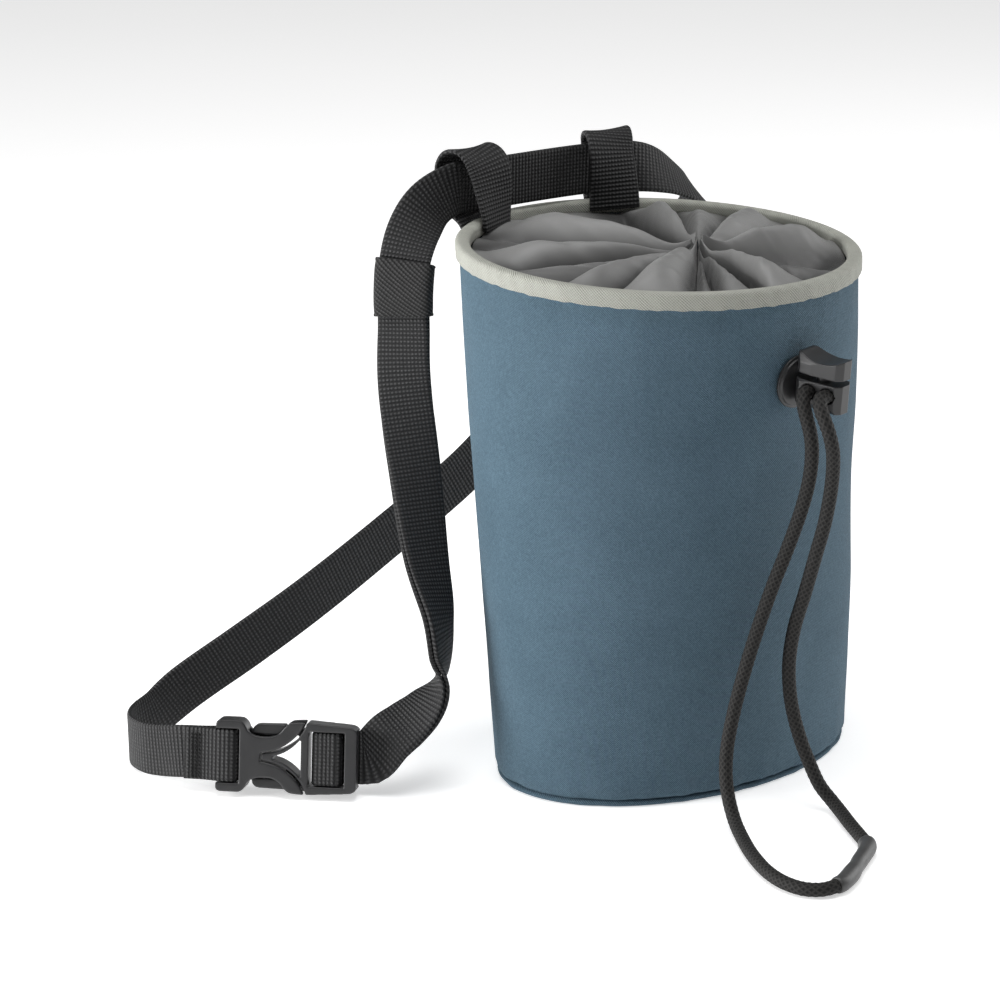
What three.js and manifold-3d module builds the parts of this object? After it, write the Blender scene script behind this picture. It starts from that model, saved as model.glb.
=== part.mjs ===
import * as THREE from 'three';
import { mergeVertices } from 'three/addons/utils/BufferGeometryUtils.js';
import Module from 'manifold-3d';

// A climbing chalk bag that stands on its base, with its waist belt and closing cord on the same surface.
// Millimetres, +Z up, origin at the middle of the base, -Y towards the cord lock, +Y towards the loops.

const wasm = await Module();
wasm.setup();

// Bag
const BAG_HEIGHT = 160;
const RIM_RADIUS = 59;
const BASE_HALF_LENGTH = 60;
const BASE_HALF_WIDTH = 40;
const BASE_TURN = -6;
const WALL = 2;
const BASE_THICKNESS = 2;
const HEM_ROUNDING = 2.2;
const RIM_LEAN_X = -3;
const RIM_LEAN_Y = 6.4;
const RIM_DIP = 1.5;
const RIM_DIP_AZIMUTH = -40;

// Binding tape and gathered closure
const BINDING = 0.9;
const BINDING_DROP_OUTSIDE = 5;
const BINDING_DROP_INSIDE = 4;
const CLOSURE_WALL = 1.2;
const CLOSURE_SINK = 3.4;
const GATHER_X = 9;
const GATHER_Y = -7.5;
const FOLD_RISE = 7;
const RUFFLE_RADIUS = 9;
const RUFFLE_RISE = 5;

// Webbing
const WEBBING_WIDTH = 16;
const WEBBING = 1.5;
const LOOP_RISE = 20.5;
const LOOP_AZIMUTHS = { belt_loop_right: 62, belt_loop_left: 112 };
const LOOP_OUTSIDE_DROP = 24;
const BELT_LIFT = 1.3;
const KEEPER_LENGTH = 16.5;
const KEEPER_WALL = 0.9;
const END_FOLD = 10;

// Side release buckle
const BUCKLE_LENGTH = 42.5;
const BUCKLE_WIDTH = 22.4;
const BUCKLE_THICKNESS = 7.5;
const BUCKLE_AZIMUTH = 157.04;
const BUCKLE_OUT = 1.088;
const BUCKLE_HEADING = -47;
const BUCKLE_LEAN = 12;
const BUCKLE_BAR = 3;
const END_BAR = 3.6;
const PRONG_THICKNESS = 3.4;

// Cord lock
const LOCK_AZIMUTH = -89.3;
const LOCK_BELOW_RIM = 30;
const LOCK_YAW = 9.5;
const FLANGE_RADIUS = 8;
const FLANGE_THICKNESS = 1.6;
const LOCK_LENGTH = 14.6;
const LOCK_WIDTH = 11;
const LOCK_DEPTH = 8.5;
const BUTTON_HEIGHT = 6;
const BUTTON_TRAVEL = 1.4;
const BUTTON_STEM_RADIUS = 2.2;

// Closing cord
const CORD_DIAMETER = 4;
const SLEEVE_DIAMETER = 5.2;

// Fit
const GAP = 0.3;

const degrees = THREE.MathUtils.degToRad;
const lerp = THREE.MathUtils.lerp;

const materials = {
  canvas: new THREE.MeshStandardMaterial({ color: 0x4f6d81, roughness: 0.85, metalness: 0 }),
  tape: new THREE.MeshStandardMaterial({ color: 0xc6c8bd, roughness: 0.85, metalness: 0 }),
  nylon: new THREE.MeshStandardMaterial({ color: 0x7d7d7c, roughness: 0.5, metalness: 0 }),
  webbing: new THREE.MeshStandardMaterial({ color: 0x2b2b2c, roughness: 0.8, metalness: 0 }),
  plastic: new THREE.MeshStandardMaterial({ color: 0x38393a, roughness: 0.45, metalness: 0 }),
  cord: new THREE.MeshStandardMaterial({ color: 0x232221, roughness: 0.85, metalness: 0 }),
  sleeve: new THREE.MeshStandardMaterial({ color: 0x5a5b5c, roughness: 0.55, metalness: 0 }),
};

const bag = new THREE.Group();

function addPiece(name, geometry, material) {
  const mesh = new THREE.Mesh(geometry, material);
  mesh.name = name;
  bag.add(mesh);
  return mesh;
}

// A closed surface through rings of points. It is capped at both ends, or its last ring joins its first.
function skin(rings, joinsItself = false) {
  const size = rings[0].length;
  const positions = rings.flat().flatMap((point) => [point.x, point.y, point.z]);
  const faces = [];
  const links = joinsItself ? rings.length : rings.length - 1;
  for (let row = 0; row < links; row += 1) {
    const next = (row + 1) % rings.length;
    for (let i = 0; i < size; i += 1) {
      const j = (i + 1) % size;
      const corners = [row * size + i, row * size + j, next * size + j, next * size + i];
      faces.push(corners[0], corners[1], corners[2], corners[0], corners[2], corners[3]);
    }
  }
  if (!joinsItself) {
    const last = (rings.length - 1) * size;
    const middles = [rings[0], rings.at(-1)].map((ring) =>
      ring.reduce((sum, point) => sum.add(point), new THREE.Vector3()).divideScalar(size));
    middles.forEach((point) => positions.push(point.x, point.y, point.z));
    const [startMiddle, endMiddle] = [rings.length * size, rings.length * size + 1];
    for (let i = 0; i < size; i += 1) {
      const j = (i + 1) % size;
      faces.push(startMiddle, j, i, endMiddle, last + i, last + j);
    }
  }
  const geometry = new THREE.BufferGeometry();
  geometry.setAttribute('position', new THREE.Float32BufferAttribute(positions, 3));
  geometry.setIndex(faces);
  return geometry;
}

function toSolid(geometry) {
  const bare = geometry.clone();
  bare.deleteAttribute('normal');
  bare.deleteAttribute('uv');
  const merged = mergeVertices(bare, 1e-4);
  return new wasm.Manifold(new wasm.Mesh({
    numProp: 3,
    vertProperties: new Float32Array(merged.attributes.position.array),
    triVerts: new Uint32Array(merged.index.array),
  }));
}

function toGeometry(solid) {
  const mesh = solid.getMesh();
  const geometry = new THREE.BufferGeometry();
  geometry.setAttribute('position', new THREE.BufferAttribute(mesh.vertProperties, 3));
  geometry.setIndex(new THREE.BufferAttribute(mesh.triVerts, 1));
  return geometry;
}

function extrude(outline, thickness, segments = 6) {
  const geometry = new THREE.ExtrudeGeometry(outline, {
    depth: thickness, bevelEnabled: false, curveSegments: segments,
  });
  return geometry.translate(0, 0, -thickness / 2);
}

// Body form. Each row of the table is a level section: how far it has spread from base oval to rim circle.
const SECTIONS = [
  { up: 0.00, spread: 0.00, waist: 0.000 },
  { up: 0.18, spread: 0.16, waist: 0.014 },
  { up: 0.36, spread: 0.33, waist: 0.022 },
  { up: 0.54, spread: 0.50, waist: 0.022 },
  { up: 0.70, spread: 0.68, waist: 0.020 },
  { up: 0.86, spread: 0.87, waist: 0.010 },
  { up: 1.00, spread: 1.00, waist: 0.000 },
];

// Soft dents and swells of the cloth, in shares of the bag's height and the rim's radius.
const DENTS = [
  { around: -38, up: 0.53, wide: 26, tall: 0.16, depth: 0.018 },
  { around: -95, up: 0.62, wide: 20, tall: 0.12, depth: 0.022 },
  { around: -140, up: 0.40, wide: 34, tall: 0.22, depth: -0.012 },
  { around: 90, up: 0.45, wide: 40, tall: 0.25, depth: 0.020 },
  { around: 175, up: 0.30, wide: 30, tall: 0.25, depth: 0.012 },
];

function tableAt(table, column, up) {
  const share = THREE.MathUtils.clamp(up, 0, 1);
  const next = Math.max(1, table.findIndex((row) => row.up >= share));
  const [low, high] = [table[next - 1], table[next]];
  const part = THREE.MathUtils.smoothstep(share, low.up, high.up);
  const straight = (share - low.up) / (high.up - low.up);
  return lerp(low[column], high[column], lerp(straight, part, 0.25));
}

function turnBetween(a, b) {
  return THREE.MathUtils.euclideanModulo(a - b + 180, 360) - 180;
}

function axisAt(z) {
  const up = z / BAG_HEIGHT;
  return new THREE.Vector3(RIM_LEAN_X * up, RIM_LEAN_Y * up, z);
}

// Distance of the wall's outside from the bag's axis, at an azimuth in degrees and a height.
function wallRadius(azimuth, z) {
  const up = THREE.MathUtils.clamp(z / BAG_HEIGHT, 0, 1);
  const spread = tableAt(SECTIONS, 'spread', up);
  const length = lerp(BASE_HALF_LENGTH, RIM_RADIUS, spread);
  const width = lerp(BASE_HALF_WIDTH, RIM_RADIUS, spread);
  const angle = degrees(azimuth - BASE_TURN);
  const oval = (length * width) / Math.hypot(width * Math.cos(angle), length * Math.sin(angle));
  const dent = DENTS.reduce((sum, row) => {
    const side = turnBetween(azimuth, row.around) / row.wide;
    const rise = (up - row.up) / row.tall;
    return sum + row.depth * Math.exp(-(side * side) - (rise * rise));
  }, 0);
  return oval + RIM_RADIUS * (tableAt(SECTIONS, 'waist', up) - dent);
}

function aroundBag(azimuth, z, outside) {
  const angle = degrees(azimuth);
  const reach = wallRadius(azimuth, z) + outside;
  return axisAt(z).add(new THREE.Vector3(Math.cos(angle), Math.sin(angle), 0).multiplyScalar(reach));
}

// How far the rim's edge lies below or above its mean height, because the bag leans.
function rimDip(azimuth, radius = RIM_RADIUS) {
  return -RIM_DIP * (radius / RIM_RADIUS) * Math.cos(degrees(azimuth - RIM_DIP_AZIMUTH));
}

function rimPoint(azimuth, outside, above) {
  return aroundBag(azimuth, BAG_HEIGHT + above + rimDip(azimuth, RIM_RADIUS + outside), outside);
}

function azimuths(count) {
  return Array.from({ length: count }, (_, i) => (360 * i) / count);
}

const RING_STEPS = 56;
const WALL_ROWS = 10;
const wallBottom = BASE_THICKNESS + GAP;
const wallTop = -BINDING - GAP;

// Height of the wall at a share of its length, following the dip of the rim.
function wallPoint(azimuth, share, inside) {
  const top = BAG_HEIGHT + wallTop + rimDip(azimuth);
  const z = lerp(wallBottom, top, share);
  const fromBottom = Math.min(1, (z - wallBottom) / HEM_ROUNDING);
  const tuck = HEM_ROUNDING * 0.45 * (1 - Math.sqrt(1 - (1 - fromBottom) ** 2));
  return aroundBag(azimuth, z, -tuck - inside);
}

function bodyWall() {
  const shares = [0, 0.006];
  for (let row = 1; row <= WALL_ROWS; row += 1) shares.push(lerp(0.03, 1, row / WALL_ROWS));
  const ring = (share, inside) => azimuths(RING_STEPS).map((azimuth) => wallPoint(azimuth, share, inside));
  const outer = shares.map((share) => ring(share, 0));
  const inner = shares.map((share) => ring(share, WALL)).reverse();
  return skin([...outer, ...inner], true);
}

function basePanel() {
  const ring = (z, inside) => azimuths(RING_STEPS).map((azimuth) => {
    const point = aroundBag(azimuth, 0, -inside);
    point.z = z;
    return point;
  });
  const soften = BASE_THICKNESS * 0.35;
  return skin([
    ring(0, soften), ring(soften, 0.1), ring(BASE_THICKNESS - soften, 0.1), ring(BASE_THICKNESS, soften),
  ]);
}

function rimBinding() {
  const section = [
    { outside: GAP, above: -BINDING_DROP_OUTSIDE },
    { outside: GAP + BINDING, above: -BINDING_DROP_OUTSIDE },
    { outside: GAP + BINDING, above: -BINDING },
    { outside: GAP + BINDING * 0.3, above: 0 },
    { outside: -WALL - GAP - BINDING * 0.3, above: 0 },
    { outside: -WALL - GAP - BINDING, above: -BINDING },
    { outside: -WALL - GAP - BINDING, above: -BINDING_DROP_INSIDE },
    { outside: -WALL - GAP, above: -BINDING_DROP_INSIDE },
    { outside: -WALL - GAP, above: -BINDING },
    { outside: GAP, above: -BINDING },
  ];
  return skin(section.map((corner) => azimuths(RING_STEPS).map((azimuth) =>
    rimPoint(azimuth, corner.outside, corner.above))), true);
}

addPiece('body_wall', bodyWall(), materials.canvas);
addPiece('base_panel', basePanel(), materials.canvas);
addPiece('rim_binding', rimBinding(), materials.tape);

// Closure. Each row is one billow between two creases: its azimuth at the rim, seen from the gather,
// its half width in degrees, its rise as a share of FOLD_RISE, and how far it swirls on its way in.
const FOLDS = [
  { around: -162, wide: 15, rise: 0.95, swirl: 10 },
  { around: -128, wide: 17, rise: 1.10, swirl: 8 },
  { around: -97, wide: 12, rise: 0.75, swirl: 4 },
  { around: -68, wide: 14, rise: 0.90, swirl: -4 },
  { around: -38, wide: 13, rise: 0.85, swirl: -8 },
  { around: -8, wide: 14, rise: 0.80, swirl: -10 },
  { around: 24, wide: 15, rise: 0.70, swirl: -6 },
  { around: 54, wide: 12, rise: 0.85, swirl: 2 },
  { around: 84, wide: 14, rise: 0.60, swirl: 6 },
  { around: 116, wide: 15, rise: 0.95, swirl: 10 },
  { around: 142, wide: 11, rise: 0.80, swirl: 12 },
  { around: 168, wide: 12, rise: 0.90, swirl: 12 },
];
const CLOSURE_STEPS = 72;
const CLOSURE_RINGS = [1, 0.965, 0.88, 0.76, 0.62, 0.48, 0.35, 0.24, 0.15, 0.08, 0.035];

const closureEdge = -WALL - 2 * GAP - BINDING;

function foldHeight(azimuth, share) {
  const swell = Math.sin(Math.PI * share ** 0.75) ** 0.8;
  return FOLDS.reduce((height, row) => {
    const side = turnBetween(azimuth, row.around + row.swirl * (1 - share)) / row.wide;
    const billow = Math.max(0, 1 - side * side) ** 0.7;
    return Math.max(height, row.rise * billow * FOLD_RISE * swell);
  }, 0);
}

function closurePoint(azimuth, share, below) {
  const gather = axisAt(BAG_HEIGHT).add(new THREE.Vector3(GATHER_X, GATHER_Y, 0));
  const edge = rimPoint(azimuth, closureEdge, -BINDING_DROP_INSIDE);
  const point = gather.clone().lerp(edge, share);
  const fromGather = Math.hypot(point.x - gather.x, point.y - gather.y);
  const ruffle = RUFFLE_RISE * Math.exp(-((fromGather / RUFFLE_RADIUS) ** 2))
    * (0.65 + 0.35 * Math.cos(degrees(azimuth * 7)));
  const dip = rimDip(azimuth, share * RIM_RADIUS);
  point.z = BAG_HEIGHT - CLOSURE_SINK + dip + foldHeight(azimuth, share) + ruffle - below;
  return point;
}

function closure() {
  const ring = (share, below) => azimuths(CLOSURE_STEPS).map((azimuth) =>
    closurePoint(azimuth, share, below));
  const lining = CLOSURE_RINGS.map((share) => ring(share, CLOSURE_WALL)).reverse();
  const face = CLOSURE_RINGS.map((share) => ring(share, 0));
  return skin([...lining, ...face]);
}

addPiece('closure', closure(), materials.nylon);

// Webbing is worked out as frames along its route: a point, the way it runs and the direction across.
function framesAlong(stations, spacing) {
  const curve = new THREE.CatmullRomCurve3(stations.map((row) => row.point), false, 'centripetal');
  const spans = stations.length - 1;
  const acrossAt = stations.map((row, i) =>
    row.across ?? row.face.clone().cross(curve.getTangent(i / spans)));
  const frames = [];
  for (let span = 0; span < spans; span += 1) {
    const length = stations[span].point.distanceTo(stations[span + 1].point);
    const steps = Math.max(1, Math.round(length / spacing));
    for (let step = 0; step < steps + (span === spans - 1 ? 1 : 0); step += 1) {
      const part = step / steps;
      const along = curve.getTangent((span + part) / spans);
      const across = acrossAt[span].clone().normalize().lerp(acrossAt[span + 1].clone().normalize(), part);
      across.addScaledVector(along, -along.dot(across)).normalize();
      frames.push({ point: curve.getPoint((span + part) / spans), along, across });
    }
  }
  return frames;
}

function faceOf(frame) {
  return frame.along.clone().cross(frame.across);
}

function offsetFrame(frame, sideways, outward) {
  const point = frame.point.clone().addScaledVector(frame.across, sideways);
  return point.addScaledVector(faceOf(frame), outward);
}

function ribbon(frames, width, thickness) {
  const corners = [[0.5, -0.5], [0.5, 0.5], [-0.5, 0.5], [-0.5, -0.5]];
  return skin(frames.map((frame) => corners.map(([side, face]) =>
    offsetFrame(frame, side * width, face * thickness))));
}

// Belt loops straddle the rim: the inner leg is sewn inside the binding and the outer leg down the wall.
// Columns: side runs from the inner leg (0) to the outer (1), bulge and up are shares of LOOP_RISE,
// and turn is how far the loop has turned from the rim's direction to the belt's.
const LOOP_PROFILE = [
  { side: 0.00, bulge: 0.00, up: -0.12, turn: 0.0 },
  { side: 0.00, bulge: 0.00, up: 0.10, turn: 0.1 },
  { side: 0.00, bulge: 0.02, up: 0.40, turn: 0.6 },
  { side: 0.06, bulge: 0.06, up: 0.74, turn: 1.0 },
  { side: 0.24, bulge: 0.12, up: 0.92, turn: 1.0 },
  { side: 0.52, bulge: 0.19, up: 0.98, turn: 1.0 },
  { side: 0.80, bulge: 0.26, up: 0.92, turn: 1.0 },
  { side: 1.00, bulge: 0.30, up: 0.74, turn: 1.0 },
  { side: 1.00, bulge: 0.27, up: 0.46, turn: 0.9 },
  { side: 1.00, bulge: 0.24, up: 0.18, turn: 0.8 },
  { side: 1.00, bulge: 0.05, up: -0.05, turn: 0.1 },
  { side: 1.00, bulge: 0.00, up: -0.28, turn: 0.0 },
];
const legSag = WEBBING_WIDTH ** 2 / (8 * RIM_RADIUS);
const innerLeg = -WALL - 2 * GAP - BINDING - WEBBING / 2 - legSag;
const outerLeg = 2 * GAP + BINDING + WEBBING / 2;
const loopMiddle = (innerLeg + outerLeg) / 2 + 0.17 * LOOP_RISE;
const beltAbove = BELT_LIFT + WEBBING_WIDTH / 2;

function beltInLoop(azimuth) {
  return rimPoint(azimuth, loopMiddle, beltAbove);
}

// The buckle's own space: x from its sewn end to its sliding end, y up its width, z out of its front.
const heading = degrees(BUCKLE_HEADING);
const buckleAlong = new THREE.Vector3(Math.cos(heading), Math.sin(heading), 0);
const buckleFront = new THREE.Vector3(Math.sin(heading), -Math.cos(heading), 0);
buckleFront.multiplyScalar(Math.cos(degrees(BUCKLE_LEAN))).setZ(Math.sin(degrees(BUCKLE_LEAN)));
const buckleUp = buckleFront.clone().cross(buckleAlong);
const buckleHeight = (BUCKLE_WIDTH / 2) * buckleUp.z + (BUCKLE_THICKNESS / 2) * buckleFront.z;
const buckleMiddle = aroundBag(BUCKLE_AZIMUTH, buckleHeight, BUCKLE_OUT * RIM_RADIUS);
const buckleSpace = new THREE.Matrix4().makeBasis(buckleAlong, buckleUp, buckleFront)
  .setPosition(buckleMiddle.clone().addScaledVector(buckleAlong, -BUCKLE_LENGTH / 2));

function buckleStation(x, z, across) {
  return {
    point: new THREE.Vector3(x, 0, z).applyMatrix4(buckleSpace),
    across: buckleUp.clone().multiplyScalar(across),
  };
}

// The free run of the belt. Columns: azimuth round the bag, clearance outside the wall as a share of
// RIM_RADIUS, height as a share of BAG_HEIGHT, and the azimuth and tilt in degrees that its face looks to.
const FREE_RUN = [
  { around: 149.5, out: 1.738, up: 0.061, face: 203, tip: 5 },
  { around: 147.7, out: 1.831, up: 0.056, face: 187, tip: 3 },
  { around: 144.6, out: 1.915, up: 0.052, face: 160, tip: 0 },
  { around: 141.6, out: 1.920, up: 0.053, face: 125, tip: 0 },
  { around: 138.9, out: 1.830, up: 0.066, face: 92, tip: 0 },
  { around: 137.0, out: 1.690, up: 0.103, face: 76, tip: 0 },
  { around: 133.2, out: 1.366, up: 0.177, face: 74, tip: 0 },
  { around: 127.7, out: 1.089, up: 0.246, face: 80, tip: 0 },
  { around: 114.9, out: 0.830, up: 0.332, face: 85, tip: 0 },
  { around: 93.9, out: 0.638, up: 0.452, face: 84, tip: 0 },
  { around: 71.2, out: 0.606, up: 0.613, face: 78, tip: 0 },
  { around: 56.5, out: 0.600, up: 0.740, face: 58, tip: 0 },
  { around: 44.0, out: 0.540, up: 0.870, face: 22, tip: 20 },
  { around: 38.0, out: 0.345, up: 0.968, face: -30, tip: 45 },
  { around: 43.0, out: 0.195, up: 1.025, face: -78, tip: 52 },
  { around: 50.0, out: 0.090, up: 1.052, face: -97, tip: 30 },
];
const HANGING_RUN = [
  { around: 119.5, out: 0.098, up: 1.068, face: -106, tip: 0 },
  { around: 124.4, out: 0.190, up: 1.045, face: -120, tip: 0 },
  { around: 128.7, out: 0.252, up: 1.005, face: -137, tip: 0 },
  { around: 132.6, out: 0.292, up: 0.955, face: -146, tip: 0 },
  { around: 134.5, out: 0.312, up: 0.898, face: -150, tip: 0 },
  { around: 135.9, out: 0.318, up: 0.834, face: -150, tip: 0 },
  { around: 138.6, out: 0.328, up: 0.734, face: -138, tip: 0 },
  { around: 144.3, out: 0.292, up: 0.552, face: -106, tip: 0 },
  { around: 150.2, out: 0.262, up: 0.411, face: -88, tip: 0 },
  { around: 156.7, out: 0.226, up: 0.309, face: -64, tip: 0 },
  { around: 157.9, out: 0.232, up: 0.230, face: -54, tip: -2 },
  { around: 159.2, out: 0.248, up: 0.197, face: -42, tip: -16 },
  { around: 160.2, out: 0.294, up: 0.172, face: -18, tip: -40 },
  { around: 160.9, out: 0.373, up: 0.145, face: 8, tip: -50 },
  { around: 161.2, out: 0.468, up: 0.123, face: 33, tip: -50 },
  { around: 161.4, out: 0.559, up: 0.105, face: 41, tip: -40 },
];
const KEEPER_ROW = 4;

function runStation(row) {
  const [azimuth, tilt] = [degrees(row.face), degrees(row.tip)];
  return {
    point: aroundBag(row.around, row.up * BAG_HEIGHT, row.out * RIM_RADIUS),
    face: new THREE.Vector3(
      Math.cos(azimuth) * Math.cos(tilt),
      Math.sin(azimuth) * Math.cos(tilt),
      Math.sin(tilt),
    ),
  };
}

// Webbing turns round each bar of the buckle with its middle at this distance from the bar's face.
const layer = WEBBING + GAP;
const aroundBar = 1.5 * GAP + WEBBING / 2;
const SEWN_BAR_X = 3.2;
const SLIDE_BAR_WIDTH = 5.6;
const SLIDE_BAR_THICKNESS = 2.2;
const sewnTurn = BUCKLE_BAR / 2 + aroundBar;
const slideTurn = SLIDE_BAR_WIDTH / 2 + aroundBar;
const slideFront = SLIDE_BAR_THICKNESS / 2 + aroundBar;
const slotRoom = slideTurn + WEBBING / 2 + 2.5 * GAP;
const slideBarX = BUCKLE_LENGTH - END_BAR - slotRoom;
const END_BAR_BACK = -1.6;
const tailDepth = END_BAR_BACK - aroundBar;
const mainDepth = tailDepth - layer;

const sewnEnd = [
  [-END_FOLD, layer / 2], [-4, layer / 2 + 0.3], [SEWN_BAR_X - BUCKLE_BAR / 2, sewnTurn],
  [SEWN_BAR_X + sewnTurn * 0.86, sewnTurn * 0.86], [SEWN_BAR_X + sewnTurn, 0],
  [SEWN_BAR_X + sewnTurn * 0.86, -sewnTurn * 0.86], [SEWN_BAR_X - BUCKLE_BAR / 2, -sewnTurn],
  [-4, -layer / 2 - 0.3], [-END_FOLD, -layer / 2],
].map(([x, z]) => buckleStation(x, z, -1));
const slideEnd = [
  [BUCKLE_LENGTH + 3, mainDepth], [BUCKLE_LENGTH - 1, mainDepth],
  [BUCKLE_LENGTH - 5, mainDepth], [slideBarX - 1, mainDepth + 0.4],
  [slideBarX - slideTurn + 0.4, -slideFront], [slideBarX - slideTurn, 0],
  [slideBarX - slideTurn + 0.55, slideFront * 0.95], [slideBarX, slideFront],
  [slideBarX + slideTurn - 0.55, slideFront * 0.95], [slideBarX + slideTurn + 0.1, -0.5],
  [slideBarX + slideTurn + 0.5, tailDepth + 0.55], [slideBarX + slideTurn + 1.9, tailDepth],
  [BUCKLE_LENGTH + 1, tailDepth],
].map(([x, z]) => buckleStation(x, z, 1));

const mainStations = [
  ...sewnEnd,
  ...FREE_RUN.map(runStation),
  ...Object.entries(LOOP_AZIMUTHS).map(([name, azimuth]) => ({
    point: beltInLoop(azimuth), across: new THREE.Vector3(0, 0, -1), loop: name,
  })),
  ...HANGING_RUN.map(runStation),
];
const WEBBING_STEP = WEBBING_WIDTH * 0.42;
const mainFrames = framesAlong([...mainStations, ...slideEnd], WEBBING_STEP);
const keeperSpot = mainStations.at(-HANGING_RUN.length + KEEPER_ROW).point;
const slideEntry = slideEnd[0].point;

function nearestFrame(point) {
  const distances = mainFrames.map((frame) => frame.point.distanceTo(point));
  return distances.indexOf(Math.min(...distances));
}

const keeperFrame = nearestFrame(keeperSpot);
const tailFrames = mainFrames.slice(keeperFrame, nearestFrame(slideEntry)).reverse().map((frame) => ({
  point: offsetFrame(frame, 0, -layer),
  along: frame.along.clone().negate(),
  across: frame.across,
}));

function beltLoop(azimuth, beltWay) {
  const rimWay = new THREE.Vector3(-Math.sin(degrees(azimuth)), Math.cos(degrees(azimuth)), 0);
  const rows = LOOP_PROFILE.map((row) => ({
    point: rimPoint(azimuth, lerp(innerLeg, outerLeg, row.side) + row.bulge * LOOP_RISE, row.up * LOOP_RISE),
    across: rimWay.clone().lerp(beltWay, row.turn).normalize().negate(),
  }));
  const hem = aroundBag(azimuth, BAG_HEIGHT - LOOP_OUTSIDE_DROP, outerLeg);
  rows.push({ point: hem, across: rimWay.clone().negate() });
  return ribbon(framesAlong(rows, WEBBING_WIDTH / 7), WEBBING_WIDTH, WEBBING);
}

mainStations.forEach((station, i) => {
  if (!station.loop) return;
  const beltWay = mainStations[i + 1].point.clone().sub(mainStations[i - 1].point).setZ(0).normalize();
  addPiece(station.loop, beltLoop(LOOP_AZIMUTHS[station.loop], beltWay), materials.webbing);
});

addPiece('waist_belt', ribbon([...mainFrames, ...tailFrames], WEBBING_WIDTH, WEBBING), materials.webbing);

// The keeper is a sleeve round both layers of the belt.
function frameAway(frames, start, distance) {
  const way = Math.sign(distance);
  let left = Math.abs(distance);
  let i = start;
  let span = frames[i].point.distanceTo(frames[i + way].point);
  while (left > span) {
    left -= span;
    i += way;
    span = frames[i].point.distanceTo(frames[i + way].point);
  }
  const [from, to] = [frames[i], frames[i + way]];
  return {
    point: from.point.clone().lerp(to.point, left / span),
    along: from.along.clone().lerp(to.along, left / span).normalize(),
    across: from.across.clone().lerp(to.across, left / span).normalize(),
  };
}

function keeper() {
  const halfWidth = WEBBING_WIDTH / 2 + GAP;
  const halfDepth = WEBBING + GAP * 1.5;
  const outline = (grow) => {
    const [w, d] = [halfWidth + grow, halfDepth + grow];
    const round = d * 0.4;
    return [[w, -d + round], [w, d - round], [w - round, d], [-w + round, d],
      [-w, d - round], [-w, -d + round], [-w + round, -d], [w - round, -d]];
  };
  const ring = (grow, distance) => {
    const frame = distance === 0 ? mainFrames[keeperFrame] : frameAway(mainFrames, keeperFrame, distance);
    return outline(grow).map(([side, face]) => offsetFrame(frame, side, face - layer / 2));
  };
  const places = [-0.5, -0.25, 0, 0.25, 0.5].map((share) => share * KEEPER_LENGTH);
  const outside = places.map((distance) => ring(KEEPER_WALL, distance));
  const inside = places.map((distance) => ring(GAP / 2, distance)).reverse();
  return skin([...outside, ...inside], true);
}

addPiece('belt_keeper', keeper(), materials.webbing);

// Buckle outlines. Lengths are shares of BUCKLE_LENGTH and heights are shares of half BUCKLE_WIDTH.
function buckleOutline(points) {
  const outline = new THREE.Shape();
  const place = ([x, y]) => [x * BUCKLE_LENGTH, (y * BUCKLE_WIDTH) / 2];
  points.forEach((point, i) => {
    if (i === 0) outline.moveTo(...place(point));
    else if (point.length === 4) outline.quadraticCurveTo(...place(point), ...place(point.slice(2)));
    else outline.lineTo(...place(point));
  });
  outline.closePath();
  return outline;
}

function mirrored(half) {
  const other = half.slice(0, -1).map((_, i) => {
    const k = half.length - 2 - i;
    const [x, y] = half[k].slice(-2);
    const next = half[k + 1];
    return next.length === 4 ? [next[0], -next[1], x, -y] : [x, -y];
  });
  const [endX, endY] = half.at(-1).slice(-2);
  return [...half, [endX, -endY], ...other];
}

// From the lugs beside the sewn bar, round the finger notch and out to the tips of the arms.
const FEMALE_HALF = [
  [0.00, 0.62], [0.00, 0.86], [0.00, 0.97, 0.055, 0.97], [0.15, 0.97], [0.20, 0.97, 0.22, 0.74],
  [0.245, 0.56, 0.35, 0.54], [0.435, 0.54, 0.475, 0.76], [0.51, 0.95, 0.55, 0.95], [0.63, 0.97],
  [0.60, 0.62, 0.50, 0.36], [0.42, 0.15, 0.315, 0.12],
];
const MALE_NOSE_HALF = [
  [0.325, 0.085], [0.43, 0.11, 0.51, 0.31], [0.615, 0.56, 0.645, 0.97], [0.93, 0.90],
  [1.00, 0.88, 1.00, 0.74],
];
const MALE_WINDOW_HALF = [[0.405, 0.04], [0.52, 0.12, 0.605, 0.54]];
const PRONG_HALF = [[0.25, 0.60], [0.25, 0.86, 0.31, 0.86], [0.49, 0.88], [0.49, 0.60]];

function cutBox(xLow, xHigh, height, thickness) {
  const box = new THREE.BoxGeometry(xHigh - xLow, height, thickness);
  return toSolid(box.translate((xLow + xHigh) / 2, 0, 0));
}

const SHELL = BUCKLE_THICKNESS;
const SLOT_HEIGHT = WEBBING_WIDTH + 2 * GAP;

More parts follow.
